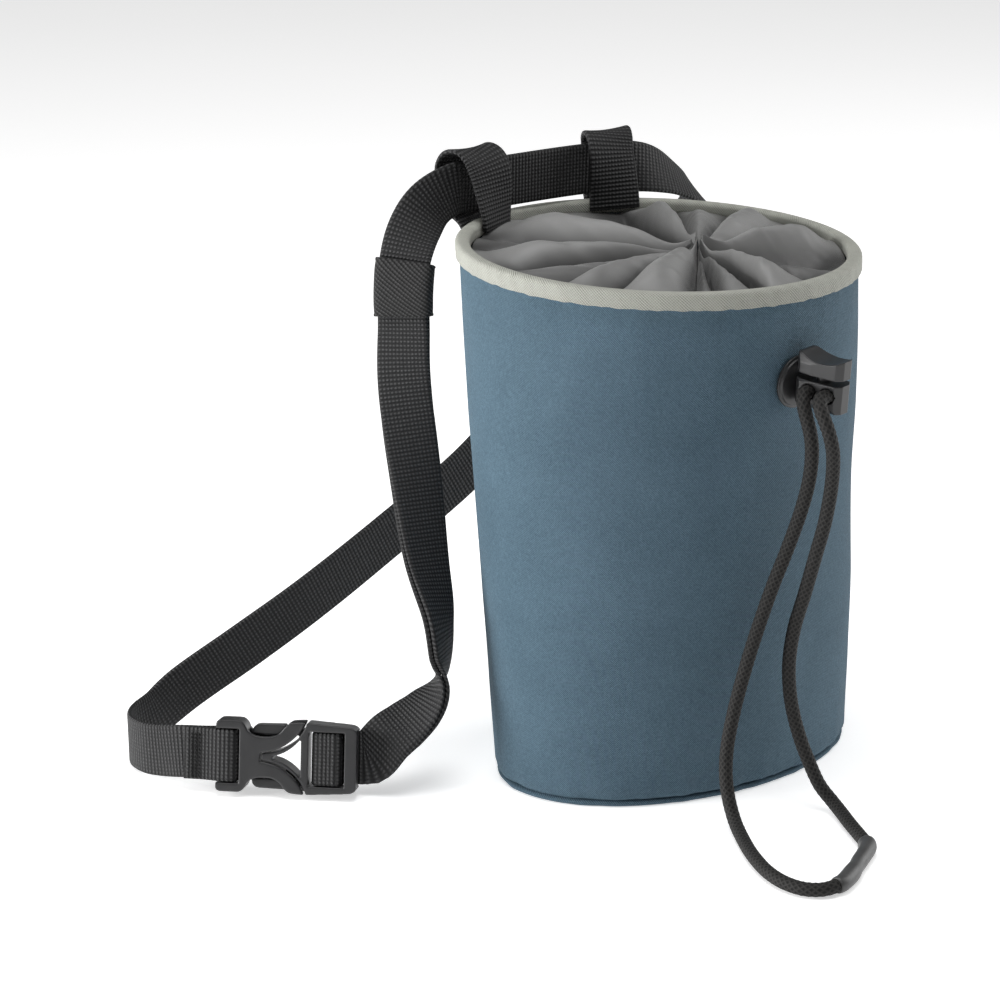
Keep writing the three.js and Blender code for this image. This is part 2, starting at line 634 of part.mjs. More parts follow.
function femaleHalf() {
  let body = toSolid(extrude(buckleOutline(mirrored(FEMALE_HALF)), SHELL, 4));
  const window = cutBox(-1, SEWN_BAR_X - BUCKLE_BAR / 2, SLOT_HEIGHT, SHELL * 2);
  const slotEnd = SEWN_BAR_X + sewnTurn + layer / 2 + GAP;
  const slot = cutBox(SEWN_BAR_X + BUCKLE_BAR / 2, slotEnd, SLOT_HEIGHT, SHELL * 2);
  body = body.subtract(window).subtract(slot);
  const barRoom = (SHELL - BUCKLE_BAR) / 2;
  for (const side of [-1, 1]) {
    const above = new THREE.BoxGeometry(BUCKLE_BAR + 2, SLOT_HEIGHT, barRoom);
    above.translate(SEWN_BAR_X, 0, side * (SHELL - barRoom) / 2);
    body = body.subtract(toSolid(above));
  }
  const roomHeight = PRONG_THICKNESS + 2 * GAP;
  const prongRoom = cutBox(BUCKLE_LENGTH * 0.22, BUCKLE_LENGTH, BUCKLE_WIDTH * 1.1, roomHeight);
  const centre = cutBox(BUCKLE_LENGTH * 0.20, BUCKLE_LENGTH, BUCKLE_WIDTH * 0.36, PRONG_THICKNESS * 2);
  return body.subtract(prongRoom.subtract(centre));
}

function maleHalf() {
  let body = toSolid(extrude(buckleOutline(mirrored(MALE_NOSE_HALF)), SHELL - 2 * GAP, 4));
  body = body.subtract(toSolid(extrude(buckleOutline(mirrored(MALE_WINDOW_HALF)), SHELL * 2, 4)));
  const slotStart = slideBarX - slotRoom;
  body = body.subtract(cutBox(slotStart, slideBarX + slotRoom, SLOT_HEIGHT, SHELL * 2));
  const bar = cutBox(slideBarX - SLIDE_BAR_WIDTH / 2, slideBarX + SLIDE_BAR_WIDTH / 2,
    SLOT_HEIGHT + 1, SLIDE_BAR_THICKNESS);
  const backRoom = new THREE.BoxGeometry(BUCKLE_LENGTH, SLOT_HEIGHT, SHELL);
  backRoom.translate(slotStart + BUCKLE_LENGTH / 2, 0, END_BAR_BACK - SHELL / 2);
  body = body.subtract(toSolid(backRoom)).add(bar);
  for (const side of [-1, 1]) {
    const prong = new THREE.ExtrudeGeometry(buckleOutline(PRONG_HALF.map((point) =>
      point.map((value, i) => (i % 2 ? value * side : value)))), {
      depth: PRONG_THICKNESS, bevelEnabled: false, curveSegments: 4,
    });
    prong.translate(0, 0, -PRONG_THICKNESS / 2);
    const beam = new THREE.BoxGeometry(BUCKLE_LENGTH * 0.2, BUCKLE_WIDTH * 0.09, PRONG_THICKNESS);
    beam.translate(BUCKLE_LENGTH * 0.56, side * BUCKLE_WIDTH * 0.345, 0);
    body = body.add(toSolid(prong)).add(toSolid(beam));
  }
  return body;
}

for (const [name, half] of [['buckle_female', femaleHalf()], ['buckle_male', maleHalf()]]) {
  addPiece(name, toGeometry(half), materials.plastic).applyMatrix4(buckleSpace);
}

// The cord lock's own space: x out of the wall, z up, y towards the side that the cords leave by.
const lockTurn = degrees(LOCK_AZIMUTH);
const lockHeight = BAG_HEIGHT - LOCK_BELOW_RIM;
const lockUp = aroundBag(LOCK_AZIMUTH, lockHeight + FLANGE_RADIUS, 0)
  .sub(aroundBag(LOCK_AZIMUTH, lockHeight - FLANGE_RADIUS, 0)).normalize();
const lockSide = new THREE.Vector3(-Math.sin(lockTurn), Math.cos(lockTurn), 0);
const lockOut = lockSide.clone().cross(lockUp);
const flangeSpace = new THREE.Matrix4().makeBasis(lockOut, lockSide, lockUp)
  .setPosition(aroundBag(LOCK_AZIMUTH, lockHeight, GAP));
const lockSpace = flangeSpace.clone().multiply(new THREE.Matrix4().makeRotationZ(degrees(LOCK_YAW)));
const LOCK_FOOT = 0.34;
const lockStart = FLANGE_THICKNESS + 1.2 * GAP + LOCK_FOOT * LOCK_WIDTH * Math.sin(degrees(LOCK_YAW));
const buttonGap = BUTTON_TRAVEL + GAP;
const HOLE_RADIUS = CORD_DIAMETER / 2 + GAP;
const HOLE_PLACES = { cord_front: 0.35, cord_rear: 0.75 };
const HOLE_UP = 0.62;

function lockFlange() {
  const disc = new THREE.CylinderGeometry(FLANGE_RADIUS * 0.86, FLANGE_RADIUS, FLANGE_THICKNESS, 28);
  return disc.rotateZ(-Math.PI / 2).translate(FLANGE_THICKNESS / 2, 0, 0);
}

// A prism along the lock's length, from a profile across it whose corners are shares of its size.
function lockPrism(corners, length, width, height, bottom) {
  const outline = new THREE.Shape(corners.map(([side, up]) =>
    new THREE.Vector2(side * width, bottom + up * height)));
  const prism = new THREE.ExtrudeGeometry(outline, { depth: length, bevelEnabled: false });
  const turn = new THREE.Matrix4().makeBasis(
    new THREE.Vector3(0, 1, 0), new THREE.Vector3(0, 0, 1), new THREE.Vector3(1, 0, 0));
  return prism.applyMatrix4(turn).translate(lockStart, 0, 0);
}

const BODY_CORNERS = [
  [0.28, 0], [0.5, 0.3], [0.5, 0.9], [0.44, 1], [-0.44, 1], [-0.5, 0.9], [-0.5, 0.3], [-0.28, 0],
];
const BUTTON_CORNERS = [
  [0.46, 0], [0.46, 0.55], [0.38, 0.95], [0.3, 1], [-0.3, 1], [-0.38, 0.95], [-0.46, 0.55], [-0.46, 0],
];
// Seen from above, the lock narrows to its foot on the flange and to its outer end.
const PLAN_HALF = [[0, LOCK_FOOT], [0.14, 0.5], [0.9, 0.36], [1, 0.16]];
const bodyBottom = -LOCK_DEPTH * 0.62;
const bodyTop = bodyBottom + LOCK_DEPTH;

function planPrism() {
  const corners = [...PLAN_HALF, ...PLAN_HALF.toReversed().map(([along, side]) => [along, -side])];
  const outline = new THREE.Shape(corners.map(([along, side]) =>
    new THREE.Vector2(lockStart + along * LOCK_LENGTH, side * LOCK_WIDTH)));
  return toSolid(extrude(outline, LOCK_DEPTH * 6));
}

function upright(radius, low, high, x, sides = 12) {
  const stem = new THREE.CylinderGeometry(radius, radius, high - low, sides);
  return toSolid(stem.rotateX(Math.PI / 2).translate(x, 0, (low + high) / 2));
}

function lockBody() {
  let body = toSolid(lockPrism(BODY_CORNERS, LOCK_LENGTH, LOCK_WIDTH, LOCK_DEPTH, bodyBottom));
  body = body.intersect(planPrism());
  for (const share of Object.values(HOLE_PLACES)) {
    const hole = new THREE.CylinderGeometry(HOLE_RADIUS, HOLE_RADIUS, LOCK_WIDTH * 0.4, 12);
    hole.translate(lockStart + share * LOCK_LENGTH, -LOCK_WIDTH * 0.46, bodyBottom + LOCK_DEPTH * HOLE_UP);
    body = body.subtract(toSolid(hole));
  }
  const wellBottom = bodyTop - BUTTON_TRAVEL - 2 * GAP - 1;
  const wellMiddle = lockStart + LOCK_LENGTH / 2;
  return body.subtract(upright(BUTTON_STEM_RADIUS + GAP, wellBottom, bodyTop + 1, wellMiddle));
}

function lockButton() {
  const base = bodyTop + buttonGap;
  let button = toSolid(lockPrism(BUTTON_CORNERS, LOCK_LENGTH, LOCK_WIDTH, BUTTON_HEIGHT, base));
  const thumb = new THREE.CylinderGeometry(LOCK_LENGTH, LOCK_LENGTH, LOCK_WIDTH * 2, 48);
  thumb.translate(lockStart + LOCK_LENGTH * 0.55, 0, base + BUTTON_HEIGHT * 0.7 + LOCK_LENGTH);
  button = button.subtract(toSolid(thumb)).intersect(planPrism());
  return button.add(upright(BUTTON_STEM_RADIUS, bodyTop - 0.6, base + 1, lockStart + LOCK_LENGTH / 2));
}

addPiece('lock_flange', lockFlange(), materials.plastic).applyMatrix4(flangeSpace);
addPiece('lock_body', toGeometry(lockBody()), materials.plastic).applyMatrix4(lockSpace);
addPiece('lock_button', toGeometry(lockButton()), materials.plastic).applyMatrix4(lockSpace);

// The closing cord: two ends leave the lock, fall to the surface and meet in the sleeve.
const CORD_ROUTES = {
  cord_front: [
    [-9.1, -61.9, 126.7], [-9.3, -63.4, 123.1], [-8.9, -64.6, 119.1], [-8.5, -65.1, 114.7],
    [-8.2, -64.8, 109.5], [-8.2, -63.6, 102.3], [-9.0, -61.5, 93.5],
    [-10.7, -58.9, 83.5], [-13.8, -56.3, 71.9], [-16.9, -53.7, 58.7], [-20.3, -52.2, 46.1],
    [-23.9, -51.7, 33.8], [-27.0, -52.4, 23.5], [-28.9, -54.1, 16.0], [-29.6, -56.2, 9.5],
    [-30.8, -60.0, 4.3], [-34.8, -67.6, 2.2], [-41.6, -79.5, 2.2], [-46.0, -90.2, 2.2],
    [-47.2, -98.0, 2.2], [-46.0, -104.0, 2.2], [-43.2, -107.4, 2.3],
    [-40.6, -108.7, 2.5], [-38.6, -108.95, 2.6],
  ],
  cord_rear: [
    [-8.5, -68.1, 126.6], [-8.9, -70.3, 123.7], [-8.3, -71.7, 119.8], [-7.0, -71.9, 115.1],
    [-5.8, -71.1, 109.9], [-4.8, -69.6, 102.5], [-4.9, -67.7, 92.1],
    [-5.7, -65.0, 81.0], [-6.4, -61.9, 69.1], [-7.5, -59.0, 57.4], [-8.0, -57.9, 46.3],
    [-7.0, -58.1, 35.1], [-4.6, -59.5, 23.9], [-2.1, -61.5, 15.3], [0.3, -63.9, 8.0],
    [1.9, -67.8, 3.6], [0.3, -73.0, 2.3], [-3.4, -80.0, 2.2], [-7.4, -87.8, 2.3], [-10.6, -93.6, 2.6],
  ],
};
const SLEEVE_ROUTE = [
  [-38.2, -108.97, 2.65], [-35.8, -108.8, 2.65], [-29.0, -105.9, 2.65], [-22.0, -101.9, 2.65],
  [-15.5, -98.2, 2.65], [-12.2, -95.9, 2.65], [-10.75, -93.9, 2.65],
];

function tubeAlong(points, diameter, sides, steps) {
  const section = new THREE.Shape(Array.from({ length: sides }, (_, i) => new THREE.Vector2(
    (diameter / 2) * Math.cos((2 * Math.PI * i) / sides),
    (diameter / 2) * Math.sin((2 * Math.PI * i) / sides),
  )));
  const places = points.map((point) => new THREE.Vector3(...point));
  const path = new THREE.CatmullRomCurve3(places, false, 'centripetal');
  return new THREE.ExtrudeGeometry(section, { extrudePath: path, steps, bevelEnabled: false });
}

for (const [name, route] of Object.entries(CORD_ROUTES)) {
  const share = HOLE_PLACES[name];
  const [holeX, holeZ] = [lockStart + share * LOCK_LENGTH, bodyBottom + LOCK_DEPTH * HOLE_UP];
  const mouth = [0.29, 0.42, 0.54, 0.64].map((side) =>
    new THREE.Vector3(holeX, -LOCK_WIDTH * side, holeZ).applyMatrix4(lockSpace));
  const points = [...mouth.map((point) => point.toArray()), ...route];
  addPiece(name, tubeAlong(points, CORD_DIAMETER, 8, 40), materials.cord);
}
addPiece('cord_sleeve', tubeAlong(SLEEVE_ROUTE, SLEEVE_DIAMETER, 10, 8), materials.sleeve);

export default bag;
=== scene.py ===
# %% [markdown]
# # A climbing chalk bag
# This script dresses a climbing chalk bag: a cloth tube with a bound rim, a gathered cover, a cord lock and
# a webbing belt. Its solids are already packed as a fixed frame, in metres, standing on z = 0, so each
# visible piece is made where its solid lies. The cells go from the outside facts, camera and cords, to the
# cloth, the hardware, the finishes and the light.

# %% Load the frame
import math

import bmesh
import bpy
import numpy as np
from mathutils import Matrix, Vector


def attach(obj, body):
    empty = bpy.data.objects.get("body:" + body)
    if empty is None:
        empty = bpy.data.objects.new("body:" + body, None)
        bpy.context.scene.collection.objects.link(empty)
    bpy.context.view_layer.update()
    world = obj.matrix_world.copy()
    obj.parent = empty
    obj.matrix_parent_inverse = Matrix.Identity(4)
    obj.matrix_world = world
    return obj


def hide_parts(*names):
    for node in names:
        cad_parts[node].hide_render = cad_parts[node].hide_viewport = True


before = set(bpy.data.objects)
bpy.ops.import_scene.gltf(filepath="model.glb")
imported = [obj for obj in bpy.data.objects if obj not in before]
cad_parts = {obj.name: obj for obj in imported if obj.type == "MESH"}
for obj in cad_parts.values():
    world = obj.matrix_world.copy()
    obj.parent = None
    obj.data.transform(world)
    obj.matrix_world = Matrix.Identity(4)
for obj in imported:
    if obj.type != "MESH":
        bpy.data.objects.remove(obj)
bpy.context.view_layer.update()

MM = 0.001

# %% [markdown]
# ## The camera
# The bag was seen from a little above, through a long lens. The lens and the place were worked out from the
# rim circle, the base oval and the known width of the webbing, so they are written as real sizes. A camera
# could also track an empty, but a fixed direction is easier to check.

# %% Camera
CAMERA_PLACE = Vector((-673.0, -719.2, 401.7)) * MM
CAMERA_HEADING = math.radians(50.0)
CAMERA_PITCH = math.radians(18.07)
LENS = 123.12

camera = bpy.data.objects.new("camera", bpy.data.cameras.new("camera"))
camera.data.lens = LENS
camera.data.sensor_width = 36.0
camera.location = CAMERA_PLACE
looks_to = Vector((
    math.cos(CAMERA_HEADING) * math.cos(CAMERA_PITCH),
    math.sin(CAMERA_HEADING) * math.cos(CAMERA_PITCH),
    -math.sin(CAMERA_PITCH),
))
camera.rotation_euler = looks_to.to_track_quat("-Z", "Y").to_euler()
bpy.context.collection.objects.link(camera)
bpy.context.scene.camera = camera
print("camera distance from the bag's foot", round(CAMERA_PLACE.length, 3))

# %% [markdown]
# ## One smooth line through chosen points
# Cords, loops and belt all follow lines through a few chosen points. A Blender curve object could hold such a
# line, but here its direction is needed at every place, to turn the webbing's face. So a small function works
# out a centripetal spline with numpy, which passes through each point without overshooting.

# %% A line through points
def spline(points):
    """Gives a function of numbers from 0 to the last point's, which returns places and directions."""
    points = np.asarray(points, float)
    held = np.vstack([2 * points[0] - points[1], points, 2 * points[-1] - points[-2]])

    def at(numbers):
        numbers = np.atleast_1d(numbers)
        piece = np.clip(np.floor(numbers).astype(int), 0, len(points) - 2)
        u = (numbers - piece)[:, None]
        a, b, c, d = (held[piece + k] for k in range(4))
        ab, bc, cd = (np.sqrt(np.linalg.norm(q - p, axis=1))[:, None] for p, q in ((a, b), (b, c), (c, d)))
        start = ((b - a) / ab - (c - a) / (ab + bc) + (c - b) / bc) * bc
        end = ((c - b) / bc - (d - b) / (bc + cd) + (d - c) / cd) * bc
        square = -3 * b + 3 * c - 2 * start - end
        cube = 2 * b - 2 * c + start + end
        place = b + start * u + square * u**2 + cube * u**3
        way = start + 2 * square * u + 3 * cube * u**2
        return place, unit(way)

    return at


def unit(vectors):
    return vectors / np.linalg.norm(vectors, axis=-1, keepdims=True)


def even_numbers(points, step):
    """Spline numbers that lie about one step apart along the line, and the length at each."""
    fine = np.linspace(0, len(points) - 1, 40 * (len(points) - 1) + 1)
    places, _ = spline(points)(fine)
    length = np.concatenate([[0], np.cumsum(np.linalg.norm(np.diff(places, axis=0), axis=1))])
    wanted = np.linspace(0, length[-1], max(2, round(length[-1] / step) + 1))
    return np.interp(wanted, length, fine), wanted


# %% [markdown]
# ## Skins from rings
# Nearly every soft piece is a skin over rings of points: a cord is rings round a line, a belt is thin rounded
# rings, the bag is level rings. Blender can loft with modifiers or Geometry Nodes, but plain mesh data keeps
# the lengths that a weave needs. Each skin gets a map called cloth, in metres, so that a yarn has its real
# size on every piece.

# %% A skin over rings
def skin(name, rings, along, around, joins=False, wraps=True):
    """rings is rows by points. along and around are the map's lengths, one longer where the skin closes."""
    rings = np.asarray(rings, float)
    rows, points = rings.shape[:2]
    i = np.arange(rows if joins else rows - 1)[:, None]
    j = np.arange(points if wraps else points - 1)[None, :]
    i2, j2 = (i + 1) % rows, (j + 1) % points
    corners = np.stack([i * points + j, i * points + j2, i2 * points + j2, i2 * points + j], axis=-1)
    faces = corners.reshape(-1, 4).tolist()
    one = np.ones_like(corners[..., 0], float)
    u = np.stack([along[i] * one, along[i] * one, along[i + 1] * one, along[i + 1] * one], axis=-1)
    v = np.stack([around[j] * one, around[j + 1] * one, around[j + 1] * one, around[j] * one], axis=-1)
    chart = np.stack([u, v], axis=-1).reshape(-1, 2)
    ends = []
    if wraps and not joins:
        ends = [list(range(points))[::-1], list(range((rows - 1) * points, rows * points))]
        chart = np.vstack([chart, np.zeros((2 * points, 2))])
    mesh = bpy.data.meshes.new(name)
    mesh.from_pydata(rings.reshape(-1, 3).tolist(), [], faces + ends)
    mesh.uv_layers.new(name="cloth").uv.foreach_set("vector", chart.astype(np.float32).ravel())
    mesh.polygons.foreach_set("use_smooth", np.ones(len(mesh.polygons), bool))
    if wraps and volume(mesh) < 0:
        mesh.flip_normals()
    mesh.update()
    piece = bpy.data.objects.new(name, mesh)
    bpy.context.collection.objects.link(piece)
    return piece


def volume(mesh):
    mesh.calc_loop_triangles()
    at = np.empty(len(mesh.vertices) * 3)
    mesh.vertices.foreach_get("co", at)
    corners = np.empty(len(mesh.loop_triangles) * 3, int)
    mesh.loop_triangles.foreach_get("vertices", corners)
    a, b, c = at.reshape(-1, 3)[corners.reshape(-1, 3)].transpose(1, 0, 2)
    return float(np.einsum("ij,ij->i", a, np.cross(b, c)).sum() / 6)


def lengths(points):
    return np.concatenate([[0], np.cumsum(np.linalg.norm(np.diff(points, axis=0), axis=1))])


def dress(piece, node, body):
    """Hides the solid that the piece stands for and makes the piece move with the given body."""
    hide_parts(node)
    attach(piece, body)


# %% [markdown]
# ## The pull cords
# The closing cord is a 4 mm braid. Its two ends leave holes in the side of the lock, fall beside the bag and
# meet in a plastic sleeve on the surface. A curve with a round bevel is the quick way to make a cord. Here
# the braid shows in the outline, so each cord is a tube whose surface is pushed out where a strand passes on
# top: two sets of strands wind opposite ways, and the higher one shows.

# %% Cord routes
CORD_DIAMETER = 4 * MM
CORD_ROUTES = {
    "cord_front": [
        (-3.52, -59.44, 129.29), (-4.93, -59.69, 129.25), (-6.23, -59.92, 129.22), (-7.31, -60.11, 129.20),
        (-9.1, -61.9, 126.7), (-9.3, -63.4, 123.1), (-8.9, -64.6, 119.1), (-8.5, -65.1, 114.7),
        (-8.2, -64.8, 109.5), (-8.2, -63.6, 102.3), (-9.0, -61.5, 93.5), (-10.7, -58.9, 83.5),
        (-13.8, -56.3, 71.9), (-16.9, -53.7, 58.7),
        (-20.3, -52.2, 46.1), (-23.9, -51.7, 33.8), (-27.0, -52.4, 23.5), (-28.9, -54.1, 16.0),
        (-29.6, -56.2, 9.5), (-30.8, -60.0, 4.3), (-34.8, -67.6, 2.2), (-41.6, -79.5, 2.2),
        (-46.0, -90.2, 2.2), (-47.2, -98.0, 2.2), (-46.0, -104.0, 2.2), (-43.2, -107.4, 2.3),
        (-40.6, -108.7, 2.5), (-38.6, -108.95, 2.6), (-35.8, -108.8, 2.6),
    ],
    "cord_rear": [
        (-2.48, -65.16, 128.80), (-3.89, -65.41, 128.77), (-5.19, -65.64, 128.73), (-6.27, -65.84, 128.71),
        (-8.5, -68.1, 126.6), (-8.9, -70.3, 123.7), (-8.3, -71.7, 119.8), (-7.0, -71.9, 115.1),
        (-5.8, -71.1, 109.9), (-4.8, -69.6, 102.5), (-4.9, -67.7, 92.1), (-5.7, -65.0, 81.0),
        (-6.4, -61.9, 69.1), (-7.5, -59.0, 57.4),
        (-8.0, -57.9, 46.3), (-7.0, -58.1, 35.1), (-4.6, -59.5, 23.9), (-2.1, -61.5, 15.3),
        (0.3, -63.9, 8.0), (1.9, -67.8, 3.6), (0.3, -73.0, 2.3), (-3.4, -80.0, 2.2), (-7.4, -87.8, 2.3),
        (-10.6, -93.6, 2.6), (-12.2, -95.9, 2.6),
    ],
}
BRAID_PITCH = 1.9 * MM
BRAID_STRANDS = 16
BRAID_RELIEF = 0.08 * MM
CORD_SIDES = 56
CORD_STEP = 0.22 * MM


def turning_frames(ways):
    """Two cross directions at each place of a line, carried along it without twist."""
    first = unit(np.cross(ways[0], (0, 0, 1)) if abs(ways[0][2]) < 0.9 else np.cross(ways[0], (1, 0, 0)))
    sides = [first]
    for way in ways[1:]:
        side = sides[-1] - way * np.dot(sides[-1], way)
        sides.append(side / np.linalg.norm(side))
    sides = np.array(sides)
    return sides, np.cross(ways, sides)


def braid_relief(angle, length):
    turn = 2 * np.pi * length / BRAID_PITCH
    one, other = (np.cos(BRAID_STRANDS / 2 * angle + way * turn) for way in (1, -1))
    over = np.cos(BRAID_STRANDS / 2 * angle * 2) * 0.25
    return BRAID_RELIEF * (np.maximum(one, other) ** 1.0 + over - 0.55)


def cord(name, route):
    points = np.array(route) * MM
    numbers, length = even_numbers(points, CORD_STEP)
    middle, ways = spline(points)(numbers)
    side, up = turning_frames(ways)
    angle = np.linspace(0, 2 * np.pi, CORD_SIDES, endpoint=False)
    reach = CORD_DIAMETER / 2 + braid_relief(angle[None, :], length[:, None])
    rings = (middle[:, None] + reach[..., None] * (
        np.cos(angle)[None, :, None] * side[:, None] + np.sin(angle)[None, :, None] * up[:, None]))
    around = np.linspace(0, np.pi * CORD_DIAMETER, CORD_SIDES + 1)
    piece = skin(name, rings, length, around)
    print(name, "is", round(float(length[-1]), 4), "m long,", len(piece.data.polygons), "faces")
    return piece, middle, float(length[-1])


# %% The sleeve that the cords meet in
SLEEVE_ROUTE = [
    (-38.2, -108.97, 2.65), (-35.8, -108.8, 2.65), (-29.0, -105.9, 2.65), (-22.0, -101.9, 2.65),
    (-15.5, -98.2, 2.65), (-12.2, -95.9, 2.65), (-10.75, -93.9, 2.65),
]
SLEEVE_DIAMETER = 5.2 * MM
SLEEVE_WALL = 0.45 * MM


def sleeve():
    """A soft tube that has taken a flat and a slight crimp from being pressed on the cords."""
    points = np.array(SLEEVE_ROUTE) * MM
    numbers, length = even_numbers(points, 0.5 * MM)
    middle, ways = spline(points)(numbers)
    side, up = turning_frames(ways)
    angle = np.linspace(0, 2 * np.pi, 36, endpoint=False)
    share = length / length[-1]
    crimp = 0.30 * MM * np.exp(-(((share - 0.45) / 0.10) ** 2)) + 0.12 * MM * np.cos(9 * share)
    squash = 1 - 0.07 * np.cos(2 * angle)[None, :] * np.sin(np.pi * share)[:, None]
    lip = 0.18 * MM * np.clip(1 - np.minimum(length, length[-1] - length) / (0.8 * MM), 0, 1) ** 2

    def ring(inset):
        reach = (SLEEVE_DIAMETER / 2 - inset - crimp - lip)[:, None] * squash
        return middle[:, None] + reach[..., None] * (
            np.cos(angle)[None, :, None] * side[:, None] + np.sin(angle)[None, :, None] * up[:, None])

    rings = np.concatenate([ring(0), ring(SLEEVE_WALL)[::-1]])
    along = np.concatenate([length, length[::-1], length[:1]])
    return skin("sleeve", rings, along, np.linspace(0, np.pi * SLEEVE_DIAMETER, 37), joins=True)


cord_sleeve = sleeve()
dress(cord_sleeve, "cord_sleeve", "bag")

for strand_name, route in CORD_ROUTES.items():
    strand, centre, strand_length = cord(strand_name.replace("cord_", "pull_cord_"), route)
    dress(strand, strand_name, "bag")
    centre[::4].tolist() + [centre[-1].tolist()]

# %% [markdown]
# ## The bag's form
# The real bag is cut from one strip of twill, closed into a tube, sewn to an oval base and bound at a round
# rim. So its form is a stack of level sections that go from oval to circle. Sculpting it by hand or relaxing
# it with a cloth simulation would both work. Formulas are used because the rim tape, loops and cover have to
# meet the same wall.

# %% Sizes of the bag
BAG_HEIGHT = 160 * MM
RIM_RADIUS = 59 * MM
BASE_HALF_LENGTH = 60 * MM
BASE_HALF_WIDTH = 40 * MM
BASE_TURN = -6
WALL = 2 * MM
BASE_THICKNESS = 2 * MM
HEM_ROUNDING = 2.2 * MM
RIM_LEAN = np.array([-3, 6.4, 0]) * MM
RIM_DIP = 1.5 * MM
RIM_DIP_AZIMUTH = -40
TAPE = 0.9 * MM
TAPE_DROP_OUTSIDE = 5 * MM
TAPE_DROP_INSIDE = 4 * MM
GAP = 0.3 * MM

# Level sections: share of the height, how far the oval has become the rim's circle, and the waist's swell.
SECTIONS = np.array([
    (0.00, 0.00, 0.000), (0.18, 0.16, 0.014), (0.36, 0.33, 0.022), (0.54, 0.50, 0.022),
    (0.70, 0.68, 0.020), (0.86, 0.87, 0.010), (1.00, 1.00, 0.000),
])
# Soft dents: azimuth, share of height, half width in degrees, half height, depth as a share of the radius.
DENTS = [
    (-38, 0.53, 26, 0.16, 0.018),
    (-95, 0.62, 20, 0.12, 0.022),
    (-140, 0.40, 34, 0.22, -0.012),
    (90, 0.45, 40, 0.25, 0.020),
    (175, 0.30, 30, 0.25, 0.012),
]


def smooth(share):
    share = np.clip(share, 0, 1)
    return share * share * (3 - 2 * share)


def section_at(column, up):
    ups = SECTIONS[:, 0]
    row = np.clip(np.searchsorted(ups, up, side="left"), 1, len(ups) - 1)
    low, high = SECTIONS[row - 1], SECTIONS[row]
    straight = (up - low[..., 0]) / (high[..., 0] - low[..., 0])
    part = 0.75 * straight + 0.25 * smooth(straight)
    return low[..., column] + (high[..., column] - low[..., column]) * part


def turn_between(a, b):
    return (a - b + 180) % 360 - 180


def wall_radius(azimuth, z):
    up = np.clip(z / BAG_HEIGHT, 0, 1)
    spread = section_at(1, up)
    long = BASE_HALF_LENGTH + (RIM_RADIUS - BASE_HALF_LENGTH) * spread
    wide = BASE_HALF_WIDTH + (RIM_RADIUS - BASE_HALF_WIDTH) * spread
    angle = np.radians(azimuth - BASE_TURN)
    oval = long * wide / np.hypot(wide * np.cos(angle), long * np.sin(angle))
    dent = sum(depth * np.exp(-((turn_between(azimuth, around) / half) ** 2) - ((up - height) / tall) ** 2)
               for around, height, half, tall, depth in DENTS)
    return oval + RIM_RADIUS * (section_at(2, up) - dent)


def around_bag(azimuth, z, outside):
    azimuth, z, outside = np.broadcast_arrays(np.asarray(azimuth, float), z, outside)
    angle = np.radians(azimuth)
    reach = wall_radius(azimuth, z) + outside
    flat = np.stack([np.cos(angle), np.sin(angle), np.zeros_like(angle)], axis=-1)
    axis = (z / BAG_HEIGHT)[..., None] * RIM_LEAN
    axis[..., 2] = z
    return axis + reach[..., None] * flat


def rim_dip(azimuth, radius=RIM_RADIUS):
    return -RIM_DIP * radius / RIM_RADIUS * np.cos(np.radians(azimuth - RIM_DIP_AZIMUTH))


def rim_point(azimuth, outside, above):
    azimuth, outside, above = np.broadcast_arrays(np.asarray(azimuth, float), outside, above)
    return around_bag(azimuth, BAG_HEIGHT + above + rim_dip(azimuth, RIM_RADIUS + outside), outside)


print("rim, left to right:", np.round(np.ptp(rim_point(np.arange(360), 0, 0)[:, 0]), 4))

# %% [markdown]
# ## Waves that look chance but never change
# Cloth is never quite even: it puckers beside a seam and swells between threads. Random numbers would do, if
# seeded, but a few sine waves whose counts share no factor give the same soft unevenness and close up
# exactly round a ring.

# %% Uneven waves
def waves(angle, counts, start=0.0):
    """A soft uneven wave round a ring, mostly from -1 to 1, for azimuths in degrees."""
    total = sum(np.sin(np.radians(angle) * count + start + 1.7 * k) / (1 + 0.25 * k)
                for k, count in enumerate(counts))
    return total / sum(1 / (1 + 0.25 * k) for k in range(len(counts))) * 1.4


# %% The cloth wall
AROUND_STEPS = 360
WALL_BOTTOM = BASE_THICKNESS + GAP
PUCKER_REACH = 9 * MM
azimuths = np.arange(AROUND_STEPS) * 360 / AROUND_STEPS
SEAM_AZIMUTH = 90


def wall_relief(azimuth, z, top):
    """Puckers under the tape and over the base seam, soft unevenness, and one upright seam."""
    under = np.exp(-(top - TAPE_DROP_OUTSIDE - z).clip(0) / PUCKER_REACH)
    over = np.exp(-(z - WALL_BOTTOM).clip(0) / (0.8 * PUCKER_REACH))
    pucker = 0.16 * MM * under * waves(azimuth, (23, 37, 53), 0.4)
    pucker = pucker + 0.30 * MM * over * waves(azimuth, (17, 29, 47), 2.1)
    soft = 0.35 * MM * waves(azimuth + 40 * z / BAG_HEIGHT, (3, 5, 7), 1.0) * np.sin(np.pi * z / BAG_HEIGHT)
    seam = -0.7 * MM * np.exp(-((turn_between(azimuth, SEAM_AZIMUTH) / 0.8) ** 2))
    return pucker + soft + seam


